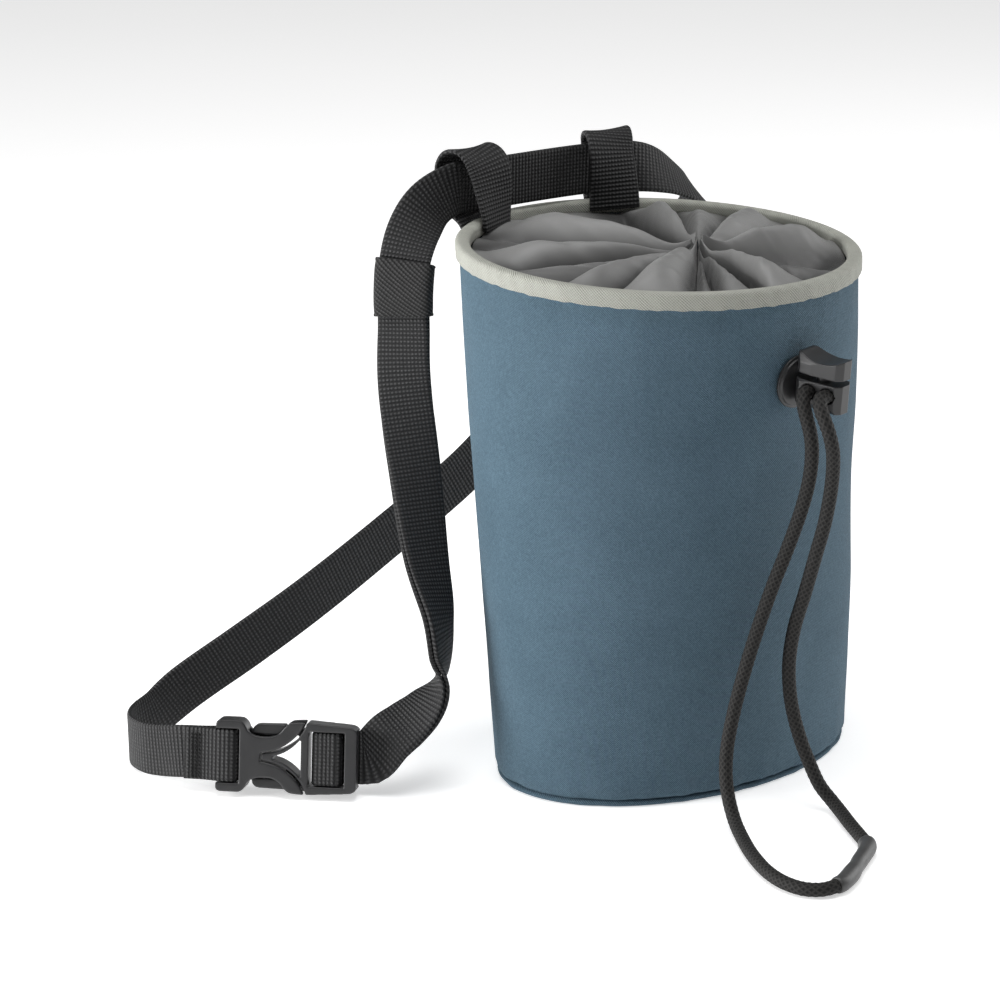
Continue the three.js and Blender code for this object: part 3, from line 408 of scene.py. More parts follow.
def wall_rings(inside):
    spread = np.concatenate([[0, 0.004, 0.010, 0.018], np.linspace(0.03, 1, 96)])
    rings = []
    for share in spread:
        top = BAG_HEIGHT - TAPE - GAP + rim_dip(azimuths)
        z = WALL_BOTTOM + (top - WALL_BOTTOM) * share
        from_bottom = np.minimum(1, (z - WALL_BOTTOM) / HEM_ROUNDING)
        tuck = 0.45 * HEM_ROUNDING * (1 - np.sqrt(1 - (1 - from_bottom) ** 2))
        relief = wall_relief(azimuths, z, top + TAPE)
        rings.append(around_bag(azimuths, z, relief - tuck - inside))
    return np.array(rings)


outer, inner = wall_rings(0), wall_rings(WALL)
rows = np.concatenate([outer, inner[::-1]])
profile = lengths(np.vstack([rows[:, 0], rows[:1, 0]]))
circumference = 2 * np.pi * 56 * MM
bag_wall = skin("bag_wall", rows, profile, np.linspace(0, circumference, AROUND_STEPS + 1), joins=True)
dress(bag_wall, "body_wall", "bag")
print("bag wall faces", len(bag_wall.data.polygons))

# %% [markdown]
# ## The base
# The base is an oval of the same twill, sewn to the wall inside out, so its edge rolls in just under the wall
# and the seam lies in a dark groove above it. It is a stack of ovals that close on the middle.

# %% The base panel
def base_rings():
    edge = [(0.0, 8.0), (0.0, 2.2), (0.05, 1.4), (0.35, 0.8),
            (0.95, 0.45), (1.5, 0.6), (1.9, 1.1), (2.0, 3.0)]
    rings = []
    for height, inset in edge:
        ring = around_bag(azimuths, 0 * azimuths, -inset * MM + 0.14 * MM * waves(azimuths, (19, 31, 43)))
        ring[:, 2] = height * MM
        rings.append(ring)
    return np.array(rings)


base_rows = base_rings()
base_panel = skin("base_cloth", base_rows, lengths(base_rows[:, 0]),
                  np.linspace(0, circumference, AROUND_STEPS + 1))
dress(base_panel, "base_panel", "bag")

# %% [markdown]
# ## The rim tape
# A ribbed tape is folded over the raw edge and sewn through all layers. Seen close it is a flat U with a
# firm fold on top. The section is drawn as a line, thickened both ways along its
# normals, and then carried round the rim.

# %% The rim tape
def tape_line():
    half = WALL / 2 + GAP + TAPE / 2
    turns = np.radians(np.linspace(0, 180, 17))
    side = np.sign(np.cos(turns)) * np.abs(np.cos(turns)) ** 0.55
    arch = np.stack([half * side - WALL / 2, 0.9 * MM * np.sin(turns) - TAPE / 2 - 0.9 * MM], axis=1)
    outside = [(arch[0, 0], -TAPE_DROP_OUTSIDE * s) for s in (1.0, 0.93, 0.80, 0.65, 0.50)]
    inside = [(arch[-1, 0], -TAPE_DROP_INSIDE * s) for s in (0.55, 0.75, 0.92, 1.0)]
    return np.vstack([outside, arch, inside])


line = tape_line()
slope = unit(np.gradient(line, axis=0))
normal = np.stack([slope[:, 1], -slope[:, 0]], axis=1)
plump = TAPE / 2 * np.concatenate([[0.55, 0.95], np.full(len(line) - 4, 1.0), [0.95, 0.55]])[:, None]
section = np.vstack([line + normal * plump, (line - normal * plump)[::-1]])
tape_rows = []
for place, (outside, above) in enumerate(section):
    low = np.clip((-above - 3.2 * MM) / (1.8 * MM), 0, 1)
    edge = 0.16 * MM * waves(azimuths, (41, 67, 97), 0.3) * low
    pulled = 1 + 0.7 * np.cos(np.radians(azimuths * 120))
    held = -0.12 * MM * np.exp(-(((above + 3.9 * MM) / (0.5 * MM)) ** 2)) * pulled
    side = 1 if outside > -WALL / 2 else -1
    tape_rows.append(rim_point(azimuths, outside + side * held, above + edge))
tape_rows = np.array(tape_rows)
rim_tape = skin("rim_tape", tape_rows, lengths(np.vstack([tape_rows[:, 0], tape_rows[:1, 0]])),
                np.linspace(0, 2 * np.pi * RIM_RADIUS, AROUND_STEPS + 1), joins=True)
dress(rim_tape, "rim_binding", "bag")
print("rim tape faces", len(rim_tape.data.polygons))

# %% [markdown]
# ## The gathered cover
# A tube of thin nylon is sewn inside the rim, and a cord in its hem draws it shut. The cloth has far more
# length than the small gather needs, so it stands up in billows between sharp creases that swirl in to the
# knot. Each row below is a crease at the rim and the billow that follows it. A cloth simulation could make
# such folds, but it would choose its own places for them, so the creases are placed one by one.

# %% Billows of the cover
GATHER = np.array([9, -7.5, 0]) * MM
COVER_SINK = 3.4 * MM
COVER_CLOTH = 0.35 * MM
COVER_EDGE = -WALL - 2 * GAP - TAPE
FOLD_RISE = 8.6 * MM
VALLEY = 0.66
# Columns: crease azimuth at the rim, swirl in degrees on the way in, where the ridge lies between this crease
# and the next, rise as a share of FOLD_RISE, and how round the ridge is.
FOLDS = [
    (-166, 6, 0.22, 1.15, 0.85),
    (-150, 4, 0.45, 1.10, 0.80),
    (-123, 2, 0.50, 0.95, 0.90),
    (-113, -2, 0.35, 1.00, 0.80),
    (-96, -6, 0.30, 1.05, 0.75),
    (-70, -10, 0.60, 0.70, 0.80),
    (-53, -14, 0.80, 0.95, 0.75),
    (-16, -12, 0.72, 0.90, 0.80),
    (22, -2, 0.55, 0.95, 0.70),
    (43, 4, 0.40, 1.25, 0.60),
    (60, 10, 0.60, 0.55, 0.90),
    (93, 16, 0.45, 1.00, 0.80),
    (122, 18, 0.50, 0.70, 0.75),
    (136, 18, 0.55, 0.90, 0.85),
    (165, 12, 0.40, 0.60, 0.80),
]
COVER_AROUND = 440
COVER_ROWS = 110


def crease_places(share):
    return np.array([row[0] + row[1] * (1 - share) ** 1.2 for row in FOLDS])


def billow_height(azimuth, share):
    """Height of the cloth over its creases for one ring of azimuths."""
    creases = crease_places(share)
    order = np.argsort(creases)
    creases = creases[order]
    place = np.searchsorted(creases, azimuth, side="right") - 1
    start = creases[place] - 360.0 * (place < 0)
    end = np.where(place + 1 < len(creases), creases[(place + 1) % len(creases)], creases[0] + 360)
    start = np.where(place < 0, creases[-1] - 360, start)
    part = ((azimuth - start) / (end - start)).clip(1e-4, 1 - 1e-4)
    rows = np.array(FOLDS)[order][place]
    ridge = np.log(0.5) / np.log(rows[:, 2])
    return rows[:, 3] * np.sin(np.pi * part**ridge) ** rows[:, 4] * np.sqrt((end - start) / 24).clip(0.5, 1.3)


def swell(share):
    return (0.16 + 0.84 * smooth((1 - share) / 0.30)) * (0.42 + 0.58 * smooth(share / 0.45))


cover_azimuths = np.arange(COVER_AROUND) * 360 / COVER_AROUND - 180
cover_shares = 1 - (1 - 0.028) * np.linspace(0, 1, COVER_ROWS) ** 0.9
edge = rim_point(cover_azimuths, COVER_EDGE, -TAPE_DROP_INSIDE)
gather = np.array([RIM_LEAN[0], RIM_LEAN[1], BAG_HEIGHT]) + GATHER


def cover_ring(share):
    ring = gather + (edge - gather) * share
    away = np.linalg.norm((edge - gather)[:, :2], axis=1) * share
    pleat = np.cos(np.radians(cover_azimuths * 19 + 260 * share))
    pleat = pleat + 0.6 * np.cos(np.radians(cover_azimuths * 31 + 80))
    pleats = 0.75 * MM * pleat * np.exp(-((away / (9 * MM)) ** 2))
    wrinkle = 0.22 * MM * waves(cover_azimuths + 60 * share, (13, 29, 47), 9 * share) * np.sin(np.pi * share)
    hem = 3.6 * MM * np.exp(-((away / (5.5 * MM)) ** 2)) - 1.8 * MM * np.exp(-((away / (14 * MM)) ** 2))
    petal = 2.2 * MM * np.exp(-((turn_between(cover_azimuths, -118) / 9) ** 2) - ((share - 0.34) / 0.16) ** 2)
    height = FOLD_RISE * (billow_height(cover_azimuths, share) * (1 + VALLEY / 2) - VALLEY) * swell(share)
    ring[:, 2] = BAG_HEIGHT - COVER_SINK + rim_dip(cover_azimuths, share * RIM_RADIUS) + height
    ring[:, 2] += pleats + wrinkle + hem + petal
    return ring


cover_top = np.array([cover_ring(share) for share in cover_shares])
cover_rise = np.array([billow_height(cover_azimuths, share) for share in cover_shares]).clip(0, 1)
print("cover rises to", round(float(cover_top[..., 2].max()), 4))

# %% Thicken the cover
cover_under = cover_top - np.array([0, 0, COVER_CLOTH])
cover_rows = np.concatenate([cover_top, cover_under[::-1]])
gathered_cover = skin("gathered_cover", cover_rows, lengths(np.vstack([cover_rows[:, 0], cover_rows[:1, 0]])),
                      np.linspace(0, 2 * np.pi * RIM_RADIUS, COVER_AROUND + 1), joins=True)
lift = gathered_cover.data.attributes.new("rise", "FLOAT", "POINT")
lift.data.foreach_set("value", np.concatenate([cover_rise, cover_rise[::-1]]).astype(np.float32).ravel())
dress(gathered_cover, "closure", "bag")
cloth_area = sum(face.area for face in gathered_cover.data.polygons) / 2
around_rim = 2 * math.pi * (RIM_RADIUS + COVER_EDGE)
1.04 * cloth_area / around_rim
print("cover cloth", round(cloth_area, 4), "square metres")

# %% [markdown]
# ## Threads
# A stitch is a short thread that rises a little out of the cloth and dives back in. Curve objects could draw
# them too, but each stitch here is a small tube of five rings, added to the mesh of the cloth that it holds.

# %% Stitches
THREAD = 0.5 * MM


def add_stitches(piece, stitches):
    """stitches are a start, an end and the way out of the cloth for each thread."""
    shares = np.array([0.0, 0.2, 0.5, 0.8, 1.0])
    rise = np.array([-0.5, 0.25, 0.45, 0.25, -0.5]) * THREAD
    turns = np.radians(np.arange(0, 360, 60))
    at, faces = [], []
    for start, end, out in stitches:
        way = unit(end - start)
        side = np.cross(way, out)
        for share, lift in zip(shares, rise):
            middle = start + (end - start) * share + out * lift
            ring = np.cos(turns)[:, None] * side * THREAD / 2 + np.sin(turns)[:, None] * out * THREAD / 3
            at.extend((middle + ring).tolist())
        first = len(at) - 30
        for ring in range(4):
            for k in range(6):
                a, b = first + 6 * ring + k, first + 6 * ring + (k + 1) % 6
                faces.append([a, b, b + 6, a + 6])
        faces.append([first + k for k in range(5, -1, -1)])
        faces.append([first + 24 + k for k in range(6)])
    threads = bpy.data.meshes.new("threads")
    threads.from_pydata(at, [], faces)
    threads.uv_layers.new(name="cloth")
    both = bmesh.new()
    both.from_mesh(piece.data)
    both.from_mesh(threads)
    both.to_mesh(piece.data)
    both.free()
    bpy.data.meshes.remove(threads)
    piece.data.polygons.foreach_set("use_smooth", np.ones(len(piece.data.polygons), bool))
    print(piece.name, "has", len(stitches), "stitches")


# %% [markdown]
# ## Webbing
# Belt, loops and keeper are woven strips. A strip is known by its middle line and the way its face looks at
# each place, so every station of a run has a place and a face. A curve object can tilt its profile, but it
# cannot be told which way a face looks in space, so the rings are made here from the same frames.

# %% Frames and strips
WEBBING_WIDTH = 16 * MM
WEBBING = 1.5 * MM


def strip_frames(stations, step=1.1 * MM):
    """stations are a place, and the direction across the strip or else, after None, that of its face."""
    places = np.array([row[0] for row in stations])
    _, ways = spline(places)(np.arange(len(places)))
    across = np.array([row[1] if row[1] is not None else np.cross(row[2], ways[i])
                       for i, row in enumerate(stations)])
    numbers, length = even_numbers(places, step)
    middle, along = spline(places)(numbers)
    turned = np.stack([np.interp(numbers, np.arange(len(places)), unit(across)[:, k])
                       for k in range(3)], axis=1)
    reach = 3
    padded = np.vstack([turned[:1].repeat(reach, 0), turned, turned[-1:].repeat(reach, 0)])
    turned = sum(padded[k:k + len(turned)] for k in range(2 * reach + 1)) / (2 * reach + 1)
    turned = unit(turned - along * np.sum(turned * along, axis=1, keepdims=True))
    return {"middle": middle, "along": along, "across": turned, "length": length}


def strip_face(frames):
    return np.cross(frames["along"], frames["across"])


def strip_section(width, thickness, columns=9):
    """A flat strip's section with round edges, as sideways and outward distances."""
    half = width / 2 - thickness / 2
    flat = np.linspace(-half, half, columns)
    turns = np.radians(np.linspace(-90, 90, 7))[1:-1]
    right = np.stack([half + thickness / 2 * np.cos(turns), thickness / 2 * np.sin(turns)], axis=1)
    bottom = np.stack([flat, np.full(columns, -thickness / 2)], axis=1)
    top = np.stack([flat[::-1], np.full(columns, thickness / 2)], axis=1)
    return np.vstack([bottom, right, top, -right])


def strip(name, frames, width=WEBBING_WIDTH, thickness=WEBBING):
    section = strip_section(width, thickness)
    face = strip_face(frames)
    rings = (frames["middle"][:, None] + section[None, :, :1] * frames["across"][:, None]
             + section[None, :, 1:] * face[:, None])
    around = lengths(np.vstack([section, section[:1]]))
    return skin(name, rings, frames["length"], around)


# %% [markdown]
# ## Belt and loops
# The belt starts in a sewn fold round the buckle's bar, lies along the surface, turns back behind the bag,
# passes both loops, comes down through the keeper and wraps the sliding bar. Its spare end runs back up
# behind it to the keeper. The loops stand over the rim, one leg sewn inside and one outside. The run's rows
# give azimuth round the bag, clearance as a share of the rim radius, height as a share of the bag's height,
# and the azimuth and tilt that the face looks to.

# %% The belt's run
FREE_RUN = [
    (149.5, 1.738, 0.061, 203, 5), (147.7, 1.831, 0.056, 187, 3), (144.6, 1.915, 0.052, 160, 0),
    (141.6, 1.920, 0.053, 125, 0), (138.9, 1.830, 0.066, 92, 0), (137.0, 1.690, 0.103, 76, 0),
    (133.2, 1.366, 0.177, 74, 0), (127.7, 1.089, 0.246, 80, 0), (114.9, 0.830, 0.332, 85, 0),
    (93.9, 0.638, 0.452, 84, 0), (71.2, 0.606, 0.613, 78, 0), (56.5, 0.600, 0.740, 58, 0),
    (44.0, 0.540, 0.870, 22, 20), (38.0, 0.345, 0.968, -30, 45), (43.0, 0.195, 1.025, -78, 52),
    (50.0, 0.090, 1.052, -97, 30),
]
HANGING_RUN = [
    (119.5, 0.098, 1.068, -106, 0), (124.4, 0.190, 1.045, -120, 0), (128.7, 0.252, 1.005, -137, 0),
    (132.6, 0.292, 0.955, -146, 0), (134.5, 0.312, 0.898, -150, 0), (135.9, 0.318, 0.834, -150, 0),
    (138.6, 0.328, 0.734, -138, 0), (144.3, 0.292, 0.552, -106, 0), (150.2, 0.262, 0.411, -88, 0),
    (156.7, 0.226, 0.309, -64, 0), (157.9, 0.232, 0.230, -54, -2), (159.2, 0.248, 0.197, -42, -16),
    (160.2, 0.294, 0.172, -18, -40), (160.9, 0.373, 0.145, 8, -50), (161.2, 0.468, 0.123, 33, -50),
    (161.4, 0.559, 0.105, 41, -40),
]
KEEPER_ROW = 4
LOOP_RISE = 20.5 * MM
LOOP_AZIMUTHS = {"belt_loop_right": 62, "belt_loop_left": 112}
LOOP_OUTSIDE_DROP = 24 * MM
BELT_LIFT = 1.3 * MM
LEG_SAG = WEBBING_WIDTH**2 / (8 * RIM_RADIUS)
INNER_LEG = -WALL - 2 * GAP - TAPE - WEBBING / 2 - LEG_SAG
OUTER_LEG = 2 * GAP + TAPE + WEBBING / 2
LOOP_MIDDLE = (INNER_LEG + OUTER_LEG) / 2 + 0.17 * LOOP_RISE
LAYER = WEBBING + GAP


def run_station(row):
    azimuth, clear, up, face, tilt = row
    turn, rise = math.radians(face), math.radians(tilt)
    looks = np.array([math.cos(turn) * math.cos(rise), math.sin(turn) * math.cos(rise), math.sin(rise)])
    return around_bag(azimuth, up * BAG_HEIGHT, clear * RIM_RADIUS), None, looks


def loop_station(azimuth):
    return rim_point(azimuth, LOOP_MIDDLE, BELT_LIFT + WEBBING_WIDTH / 2), np.array([0.0, 0, -1]), None


# %% The buckle's own space
BUCKLE_LENGTH = 42.5
BUCKLE_WIDTH = 22.4
BUCKLE_THICKNESS = 7.5
BUCKLE_AZIMUTH, BUCKLE_OUT = 157.04, 1.088
BUCKLE_HEADING = math.radians(-47)
BUCKLE_LEAN = math.radians(12)

buckle_along = Vector((math.cos(BUCKLE_HEADING), math.sin(BUCKLE_HEADING), 0))
buckle_front = Vector((
    math.sin(BUCKLE_HEADING) * math.cos(BUCKLE_LEAN),
    -math.cos(BUCKLE_HEADING) * math.cos(BUCKLE_LEAN),
    math.sin(BUCKLE_LEAN),
))
buckle_up = buckle_front.cross(buckle_along)
buckle_height = BUCKLE_WIDTH / 2 * buckle_up.z + BUCKLE_THICKNESS / 2 * buckle_front.z
buckle_middle = Vector(around_bag(BUCKLE_AZIMUTH, buckle_height * MM, BUCKLE_OUT * RIM_RADIUS) / MM)
buckle_start = buckle_middle - buckle_along * BUCKLE_LENGTH / 2
buckle_space = Matrix((
    (buckle_along.x, buckle_up.x, buckle_front.x, buckle_start.x),
    (buckle_along.y, buckle_up.y, buckle_front.y, buckle_start.y),
    (buckle_along.z, buckle_up.z, buckle_front.z, buckle_start.z),
    (0, 0, 0, 1),
))
print("buckle starts at", [round(x, 1) for x in buckle_start])

# %% Turns round the buckle's bars
BUCKLE_BAR = 3.0
SEWN_BAR_X = 3.2
END_BAR = 3.6
SLIDE_BAR_WIDTH = 5.6
SLIDE_BAR_THICKNESS = 2.2
END_BAR_BACK = -1.6
END_FOLD = 10.0
around_bar = 1.5 * GAP / MM + WEBBING / MM / 2
sewn_turn = BUCKLE_BAR / 2 + around_bar
slide_turn = SLIDE_BAR_WIDTH / 2 + around_bar
slot_room = slide_turn + WEBBING / MM / 2 + 2.5 * GAP / MM
SLIDE_BAR_X = BUCKLE_LENGTH - END_BAR - slot_room
slide_front = SLIDE_BAR_THICKNESS / 2 + around_bar
tail_depth = END_BAR_BACK - around_bar
layer = LAYER / MM
main_depth = tail_depth - layer


def buckle_station(x, z, across):
    place = np.array(buckle_space @ Vector((x, 0, z))) * MM
    return place, np.array(buckle_up) * across, None


sewn_end = [buckle_station(x, z, -1) for x, z in [
    (-END_FOLD, layer / 2), (-4, layer / 2 + 0.3), (SEWN_BAR_X - BUCKLE_BAR / 2, sewn_turn),
    (SEWN_BAR_X + sewn_turn * 0.86, sewn_turn * 0.86), (SEWN_BAR_X + sewn_turn, 0),
    (SEWN_BAR_X + sewn_turn * 0.86, -sewn_turn * 0.86), (SEWN_BAR_X - BUCKLE_BAR / 2, -sewn_turn),
    (-4, -layer / 2 - 0.3), (-END_FOLD, -layer / 2),
]]
slide_end = [buckle_station(x, z, 1) for x, z in [
    (BUCKLE_LENGTH + 3, main_depth), (BUCKLE_LENGTH - 1, main_depth), (BUCKLE_LENGTH - 5, main_depth),
    (SLIDE_BAR_X - 1, main_depth + 0.4), (SLIDE_BAR_X - slide_turn + 0.4, -slide_front),
    (SLIDE_BAR_X - slide_turn, 0), (SLIDE_BAR_X - slide_turn + 0.55, slide_front * 0.95),
    (SLIDE_BAR_X, slide_front), (SLIDE_BAR_X + slide_turn - 0.55, slide_front * 0.95),
    (SLIDE_BAR_X + slide_turn + 0.1, -0.5), (SLIDE_BAR_X + slide_turn + 0.5, tail_depth + 0.55),
    (SLIDE_BAR_X + slide_turn + 1.9, tail_depth), (BUCKLE_LENGTH + 1, tail_depth),
]]

# %% The belt and its tail
main_stations = [
    *sewn_end,
    *[run_station(row) for row in FREE_RUN],
    *[loop_station(azimuth) for azimuth in LOOP_AZIMUTHS.values()],
    *[run_station(row) for row in HANGING_RUN],
    *slide_end,
]
main = strip_frames(main_stations)


def nearest(frames, place):
    return int(np.argmin(np.linalg.norm(frames["middle"] - place, axis=1)))


keeper_at = nearest(main, run_station(HANGING_RUN[KEEPER_ROW])[0])
entry_at = nearest(main, slide_end[0][0])
behind = slice(entry_at, keeper_at - 8, -1)
tail = {
    "middle": main["middle"][behind] - LAYER * strip_face(main)[behind],
    "along": -main["along"][behind],
    "across": main["across"][behind],
}
belt = {key: np.concatenate([main[key], tail[key]]) for key in ("middle", "along", "across")}
belt["length"] = lengths(belt["middle"])
waist_belt = strip("belt_webbing", belt)

tack = []
for row in (0, 1, 2):
    at_row = int(np.argmin(np.abs(belt["length"] - (END_FOLD * 0.22 + 1.1 * row) * MM)))
    out = -strip_face(belt)[at_row]
    for k in range(12):
        place = belt["middle"][at_row] + belt["across"][at_row] * (k - 5.5) * 1.15 * MM + out * WEBBING / 2
        end = place + belt["across"][at_row] * 1.0 * MM + belt["along"][at_row] * 0.5 * MM
        tack.append((place, end, out))
add_stitches(waist_belt, tack)
dress(waist_belt, "waist_belt", "bag")
print("belt is", round(float(belt["length"][-1]), 3), "m long with its tail")

# %% The loops over the rim
# Columns: from the inner leg (0) to the outer (1), bulge and height as shares of LOOP_RISE, and how far the
# loop has turned from the rim's direction to the belt's.
LOOP_PROFILE = [
    (0.00, 0.00, -0.12, 0.0), (0.00, 0.00, 0.10, 0.1), (0.00, 0.02, 0.40, 0.6), (0.06, 0.06, 0.74, 1.0),
    (0.24, 0.12, 0.92, 1.0), (0.52, 0.19, 0.98, 1.0), (0.80, 0.26, 0.92, 1.0), (1.00, 0.30, 0.74, 1.0),
    (1.00, 0.27, 0.46, 0.9), (1.00, 0.24, 0.18, 0.8), (1.00, 0.05, -0.05, 0.1), (1.00, 0.00, -0.28, 0.0),
]
first_loop = len(sewn_end) + len(FREE_RUN)


def belt_loop(name, azimuth, number):
    before, after = main_stations[number - 1][0], main_stations[number + 1][0]
    belt_way = unit((after - before) * [1, 1, 0])
    rim_way = np.array([-math.sin(math.radians(azimuth)), math.cos(math.radians(azimuth)), 0])
    stations = []
    for side, bulge, up, turn in LOOP_PROFILE:
        outside = INNER_LEG + (OUTER_LEG - INNER_LEG) * side + bulge * LOOP_RISE
        across = unit(rim_way * (1 - turn) + belt_way * turn)
        stations.append((rim_point(azimuth, outside, up * LOOP_RISE), -across, None))
    stations.append((around_bag(azimuth, BAG_HEIGHT - LOOP_OUTSIDE_DROP, OUTER_LEG), -rim_way, None))
    return strip(name, strip_frames(stations, 0.7 * MM))


for count, (node, azimuth) in enumerate(LOOP_AZIMUTHS.items()):
    loop = belt_loop(node.replace("belt_loop", "rim_loop"), azimuth, first_loop + count)
    dress(loop, node, "bag")

# %% [markdown]
# ## The keeper
# A short elastic sleeve holds the belt and its spare end together. It is a soft rounded box section that
# follows the belt, open at both ends, a little tighter at its two rolled edges.

# %% The keeper
KEEPER_LENGTH = 16.5 * MM
KEEPER_WALL = 0.9 * MM


def keeper_section(grow):
    half_width, half_depth = WEBBING_WIDTH / 2 + GAP + grow, WEBBING + GAP * 1.5 + grow
    turns = np.radians(np.arange(0, 360, 7.5))
    power = 0.28
    side = np.sign(np.cos(turns)) * np.abs(np.cos(turns)) ** power * half_width
    out = np.sign(np.sin(turns)) * np.abs(np.sin(turns)) ** (2.0 * power) * half_depth
    return np.stack([side, out], axis=1)


def keeper():
    reach = main["length"] - main["length"][keeper_at]
    places = np.linspace(-0.5, 0.5, 34)
    rings = {"outside": [], "inside": []}
    for share in places:
        value = share * KEEPER_LENGTH
        middle, along, across = (np.array([np.interp(value, reach, main[key][:, k]) for k in range(3)])
                                 for key in ("middle", "along", "across"))
        along, across = unit(along), unit(across)
        face = np.cross(along, across)
        roll = 0.22 * MM * (np.abs(share) > 0.46) - 0.25 * MM * (np.abs(share) * 2) ** 6
        for key, grow in (("outside", KEEPER_WALL + roll), ("inside", GAP / 2)):
            section = keeper_section(grow)
            rings[key].append(middle + section[:, :1] * across + (section[:, 1:] - LAYER / 2) * face)
    rows = np.array(rings["outside"] + rings["inside"][::-1])
    section = keeper_section(KEEPER_WALL)
    around = lengths(np.vstack([section, section[:1]]))
    return skin("elastic_keeper", rows, lengths(np.vstack([rows[:, 0], rows[:1, 0]])), around, joins=True)


belt_keeper = keeper()
dress(belt_keeper, "belt_keeper", "bag")

# %% [markdown]
# ## Moulded parts
# Buckle and cord lock are injection moulded, so every edge is slightly round and the flats stay flat. A Bevel
# modifier is the usual way to that look, but it breaks down on the short edges that cut-outs leave. So each
# part is cut to shape from plain outlines, remeshed into small even faces in its own space, where its flats
# follow the grid, and smoothed a few times. It is worked in millimetres and made metres at the end.

# %% Outlines and cutting
def outline(points, length=1.0, half_width=1.0, steps=10):
    """Corner points, where a row of four numbers is a bend: its pull point and its end."""
    line = []
    for point in points:
        if len(point) == 2 or not line:
            line.append(np.array(point[:2], float))
            continue
        start, pull, end = line[-1], np.array(point[:2], float), np.array(point[2:], float)
        for t in np.linspace(0, 1, steps + 1)[1:]:
            line.append((1 - t) ** 2 * start + 2 * t * (1 - t) * pull + t * t * end)
    return np.array(line) * (length, half_width)


def both_halves(half):
    mirror = half[::-1] * (1, -1)
    keep = np.abs(mirror[:, 1]) > 1e-9
    return np.vstack([half, mirror[keep]])


def plate(points, low, high):
    """A prism between two heights over an outline in the x y plane."""
    count = len(points)
    mesh = bpy.data.meshes.new("plate")
    at = [(x, y, low) for x, y in points] + [(x, y, high) for x, y in points]
    faces = [list(range(count))[::-1], list(range(count, 2 * count))]
    faces += [[i, (i + 1) % count, (i + 1) % count + count, i + count] for i in range(count)]
    mesh.from_pydata(at, [], faces)
    if volume(mesh) < 0:
        mesh.flip_normals()
    piece = bpy.data.objects.new("plate", mesh)
    bpy.context.collection.objects.link(piece)
    return piece


def box(x_low, x_high, y_low, y_high, z_low, z_high):
    return plate([(x_low, y_low), (x_high, y_low), (x_high, y_high), (x_low, y_high)], z_low, z_high)


def rod(radius, start, way, reach, sides=32):
    """A round bar from a start point along one of the axes."""
    turns = np.linspace(0, 2 * np.pi, sides, endpoint=False)
    piece = plate([(radius * math.cos(t), radius * math.sin(t)) for t in turns], 0, reach)
    turn = Vector((0, 0, 1)).rotation_difference(Vector(way)).to_matrix().to_4x4()
    piece.data.transform(Matrix.Translation(start) @ turn)
    return piece


def combine(piece, other, operation):
    step = piece.modifiers.new("cut", "BOOLEAN")
    step.operation = operation
    step.solver = "EXACT"
    step.object = other
    settle(piece)
    bpy.data.objects.remove(other)
    return piece


def settle(piece):
    """Turns what the modifiers make into the piece's own mesh."""
    graph = bpy.context.evaluated_depsgraph_get()
    made = bpy.data.meshes.new_from_object(piece.evaluated_get(graph))
    piece.modifiers.clear()
    piece.data = made


def mould(piece, name, space, grain=0.26, rounds=5, keep=0.45):
    """Even small faces, soft edges, and then into place in metres."""
    remesh = piece.modifiers.new("even", "REMESH")
    remesh.mode = "VOXEL"
    remesh.voxel_size = grain
    soften = piece.modifiers.new("soft", "SMOOTH")
    soften.factor = 0.5
    soften.iterations = rounds
    thin = piece.modifiers.new("thin", "DECIMATE")
    thin.ratio = keep
    settle(piece)
    piece.data.transform(Matrix.Scale(MM, 4) @ space)
    piece.data.polygons.foreach_set("use_smooth", np.ones(len(piece.data.polygons), bool))
    piece.name = name
    piece.data.name = name
    print(name, "faces", len(piece.data.polygons))
    return piece


# %% The buckle's two halves
# Lengths are shares of the buckle's length, and heights are shares of half its width.
FEMALE_HALF = [
    (0.00, 0.62), (0.00, 0.86), (0.00, 0.97, 0.055, 0.97), (0.15, 0.97), (0.20, 0.97, 0.22, 0.74),
    (0.245, 0.56, 0.35, 0.54), (0.435, 0.54, 0.475, 0.76), (0.51, 0.95, 0.55, 0.95), (0.63, 0.97),
    (0.60, 0.62, 0.50, 0.36), (0.42, 0.15, 0.315, 0.12),
]
MALE_HALF = [
    (0.325, 0.085), (0.43, 0.11, 0.51, 0.31), (0.615, 0.56, 0.645, 0.97), (0.93, 0.90),
    (1.00, 0.88, 1.00, 0.74),
]
WINDOW_HALF = [(0.405, 0.04), (0.52, 0.12, 0.605, 0.54)]
PRONG = [(0.25, 0.60), (0.25, 0.86, 0.31, 0.86), (0.49, 0.88), (0.49, 0.60)]
SLOT_HEIGHT = WEBBING_WIDTH / MM + 2 * GAP / MM
PRONG_THICKNESS = 3.4
half_shell = BUCKLE_THICKNESS / 2
gap = GAP / MM


def buckle_plate(half, low, high):
    points = both_halves(outline(half, BUCKLE_LENGTH, BUCKLE_WIDTH / 2))
    return plate(points, low, high)


def slot_box(x_low, x_high, z_low, z_high):
    return box(x_low, x_high, -SLOT_HEIGHT / 2, SLOT_HEIGHT / 2, z_low, z_high)


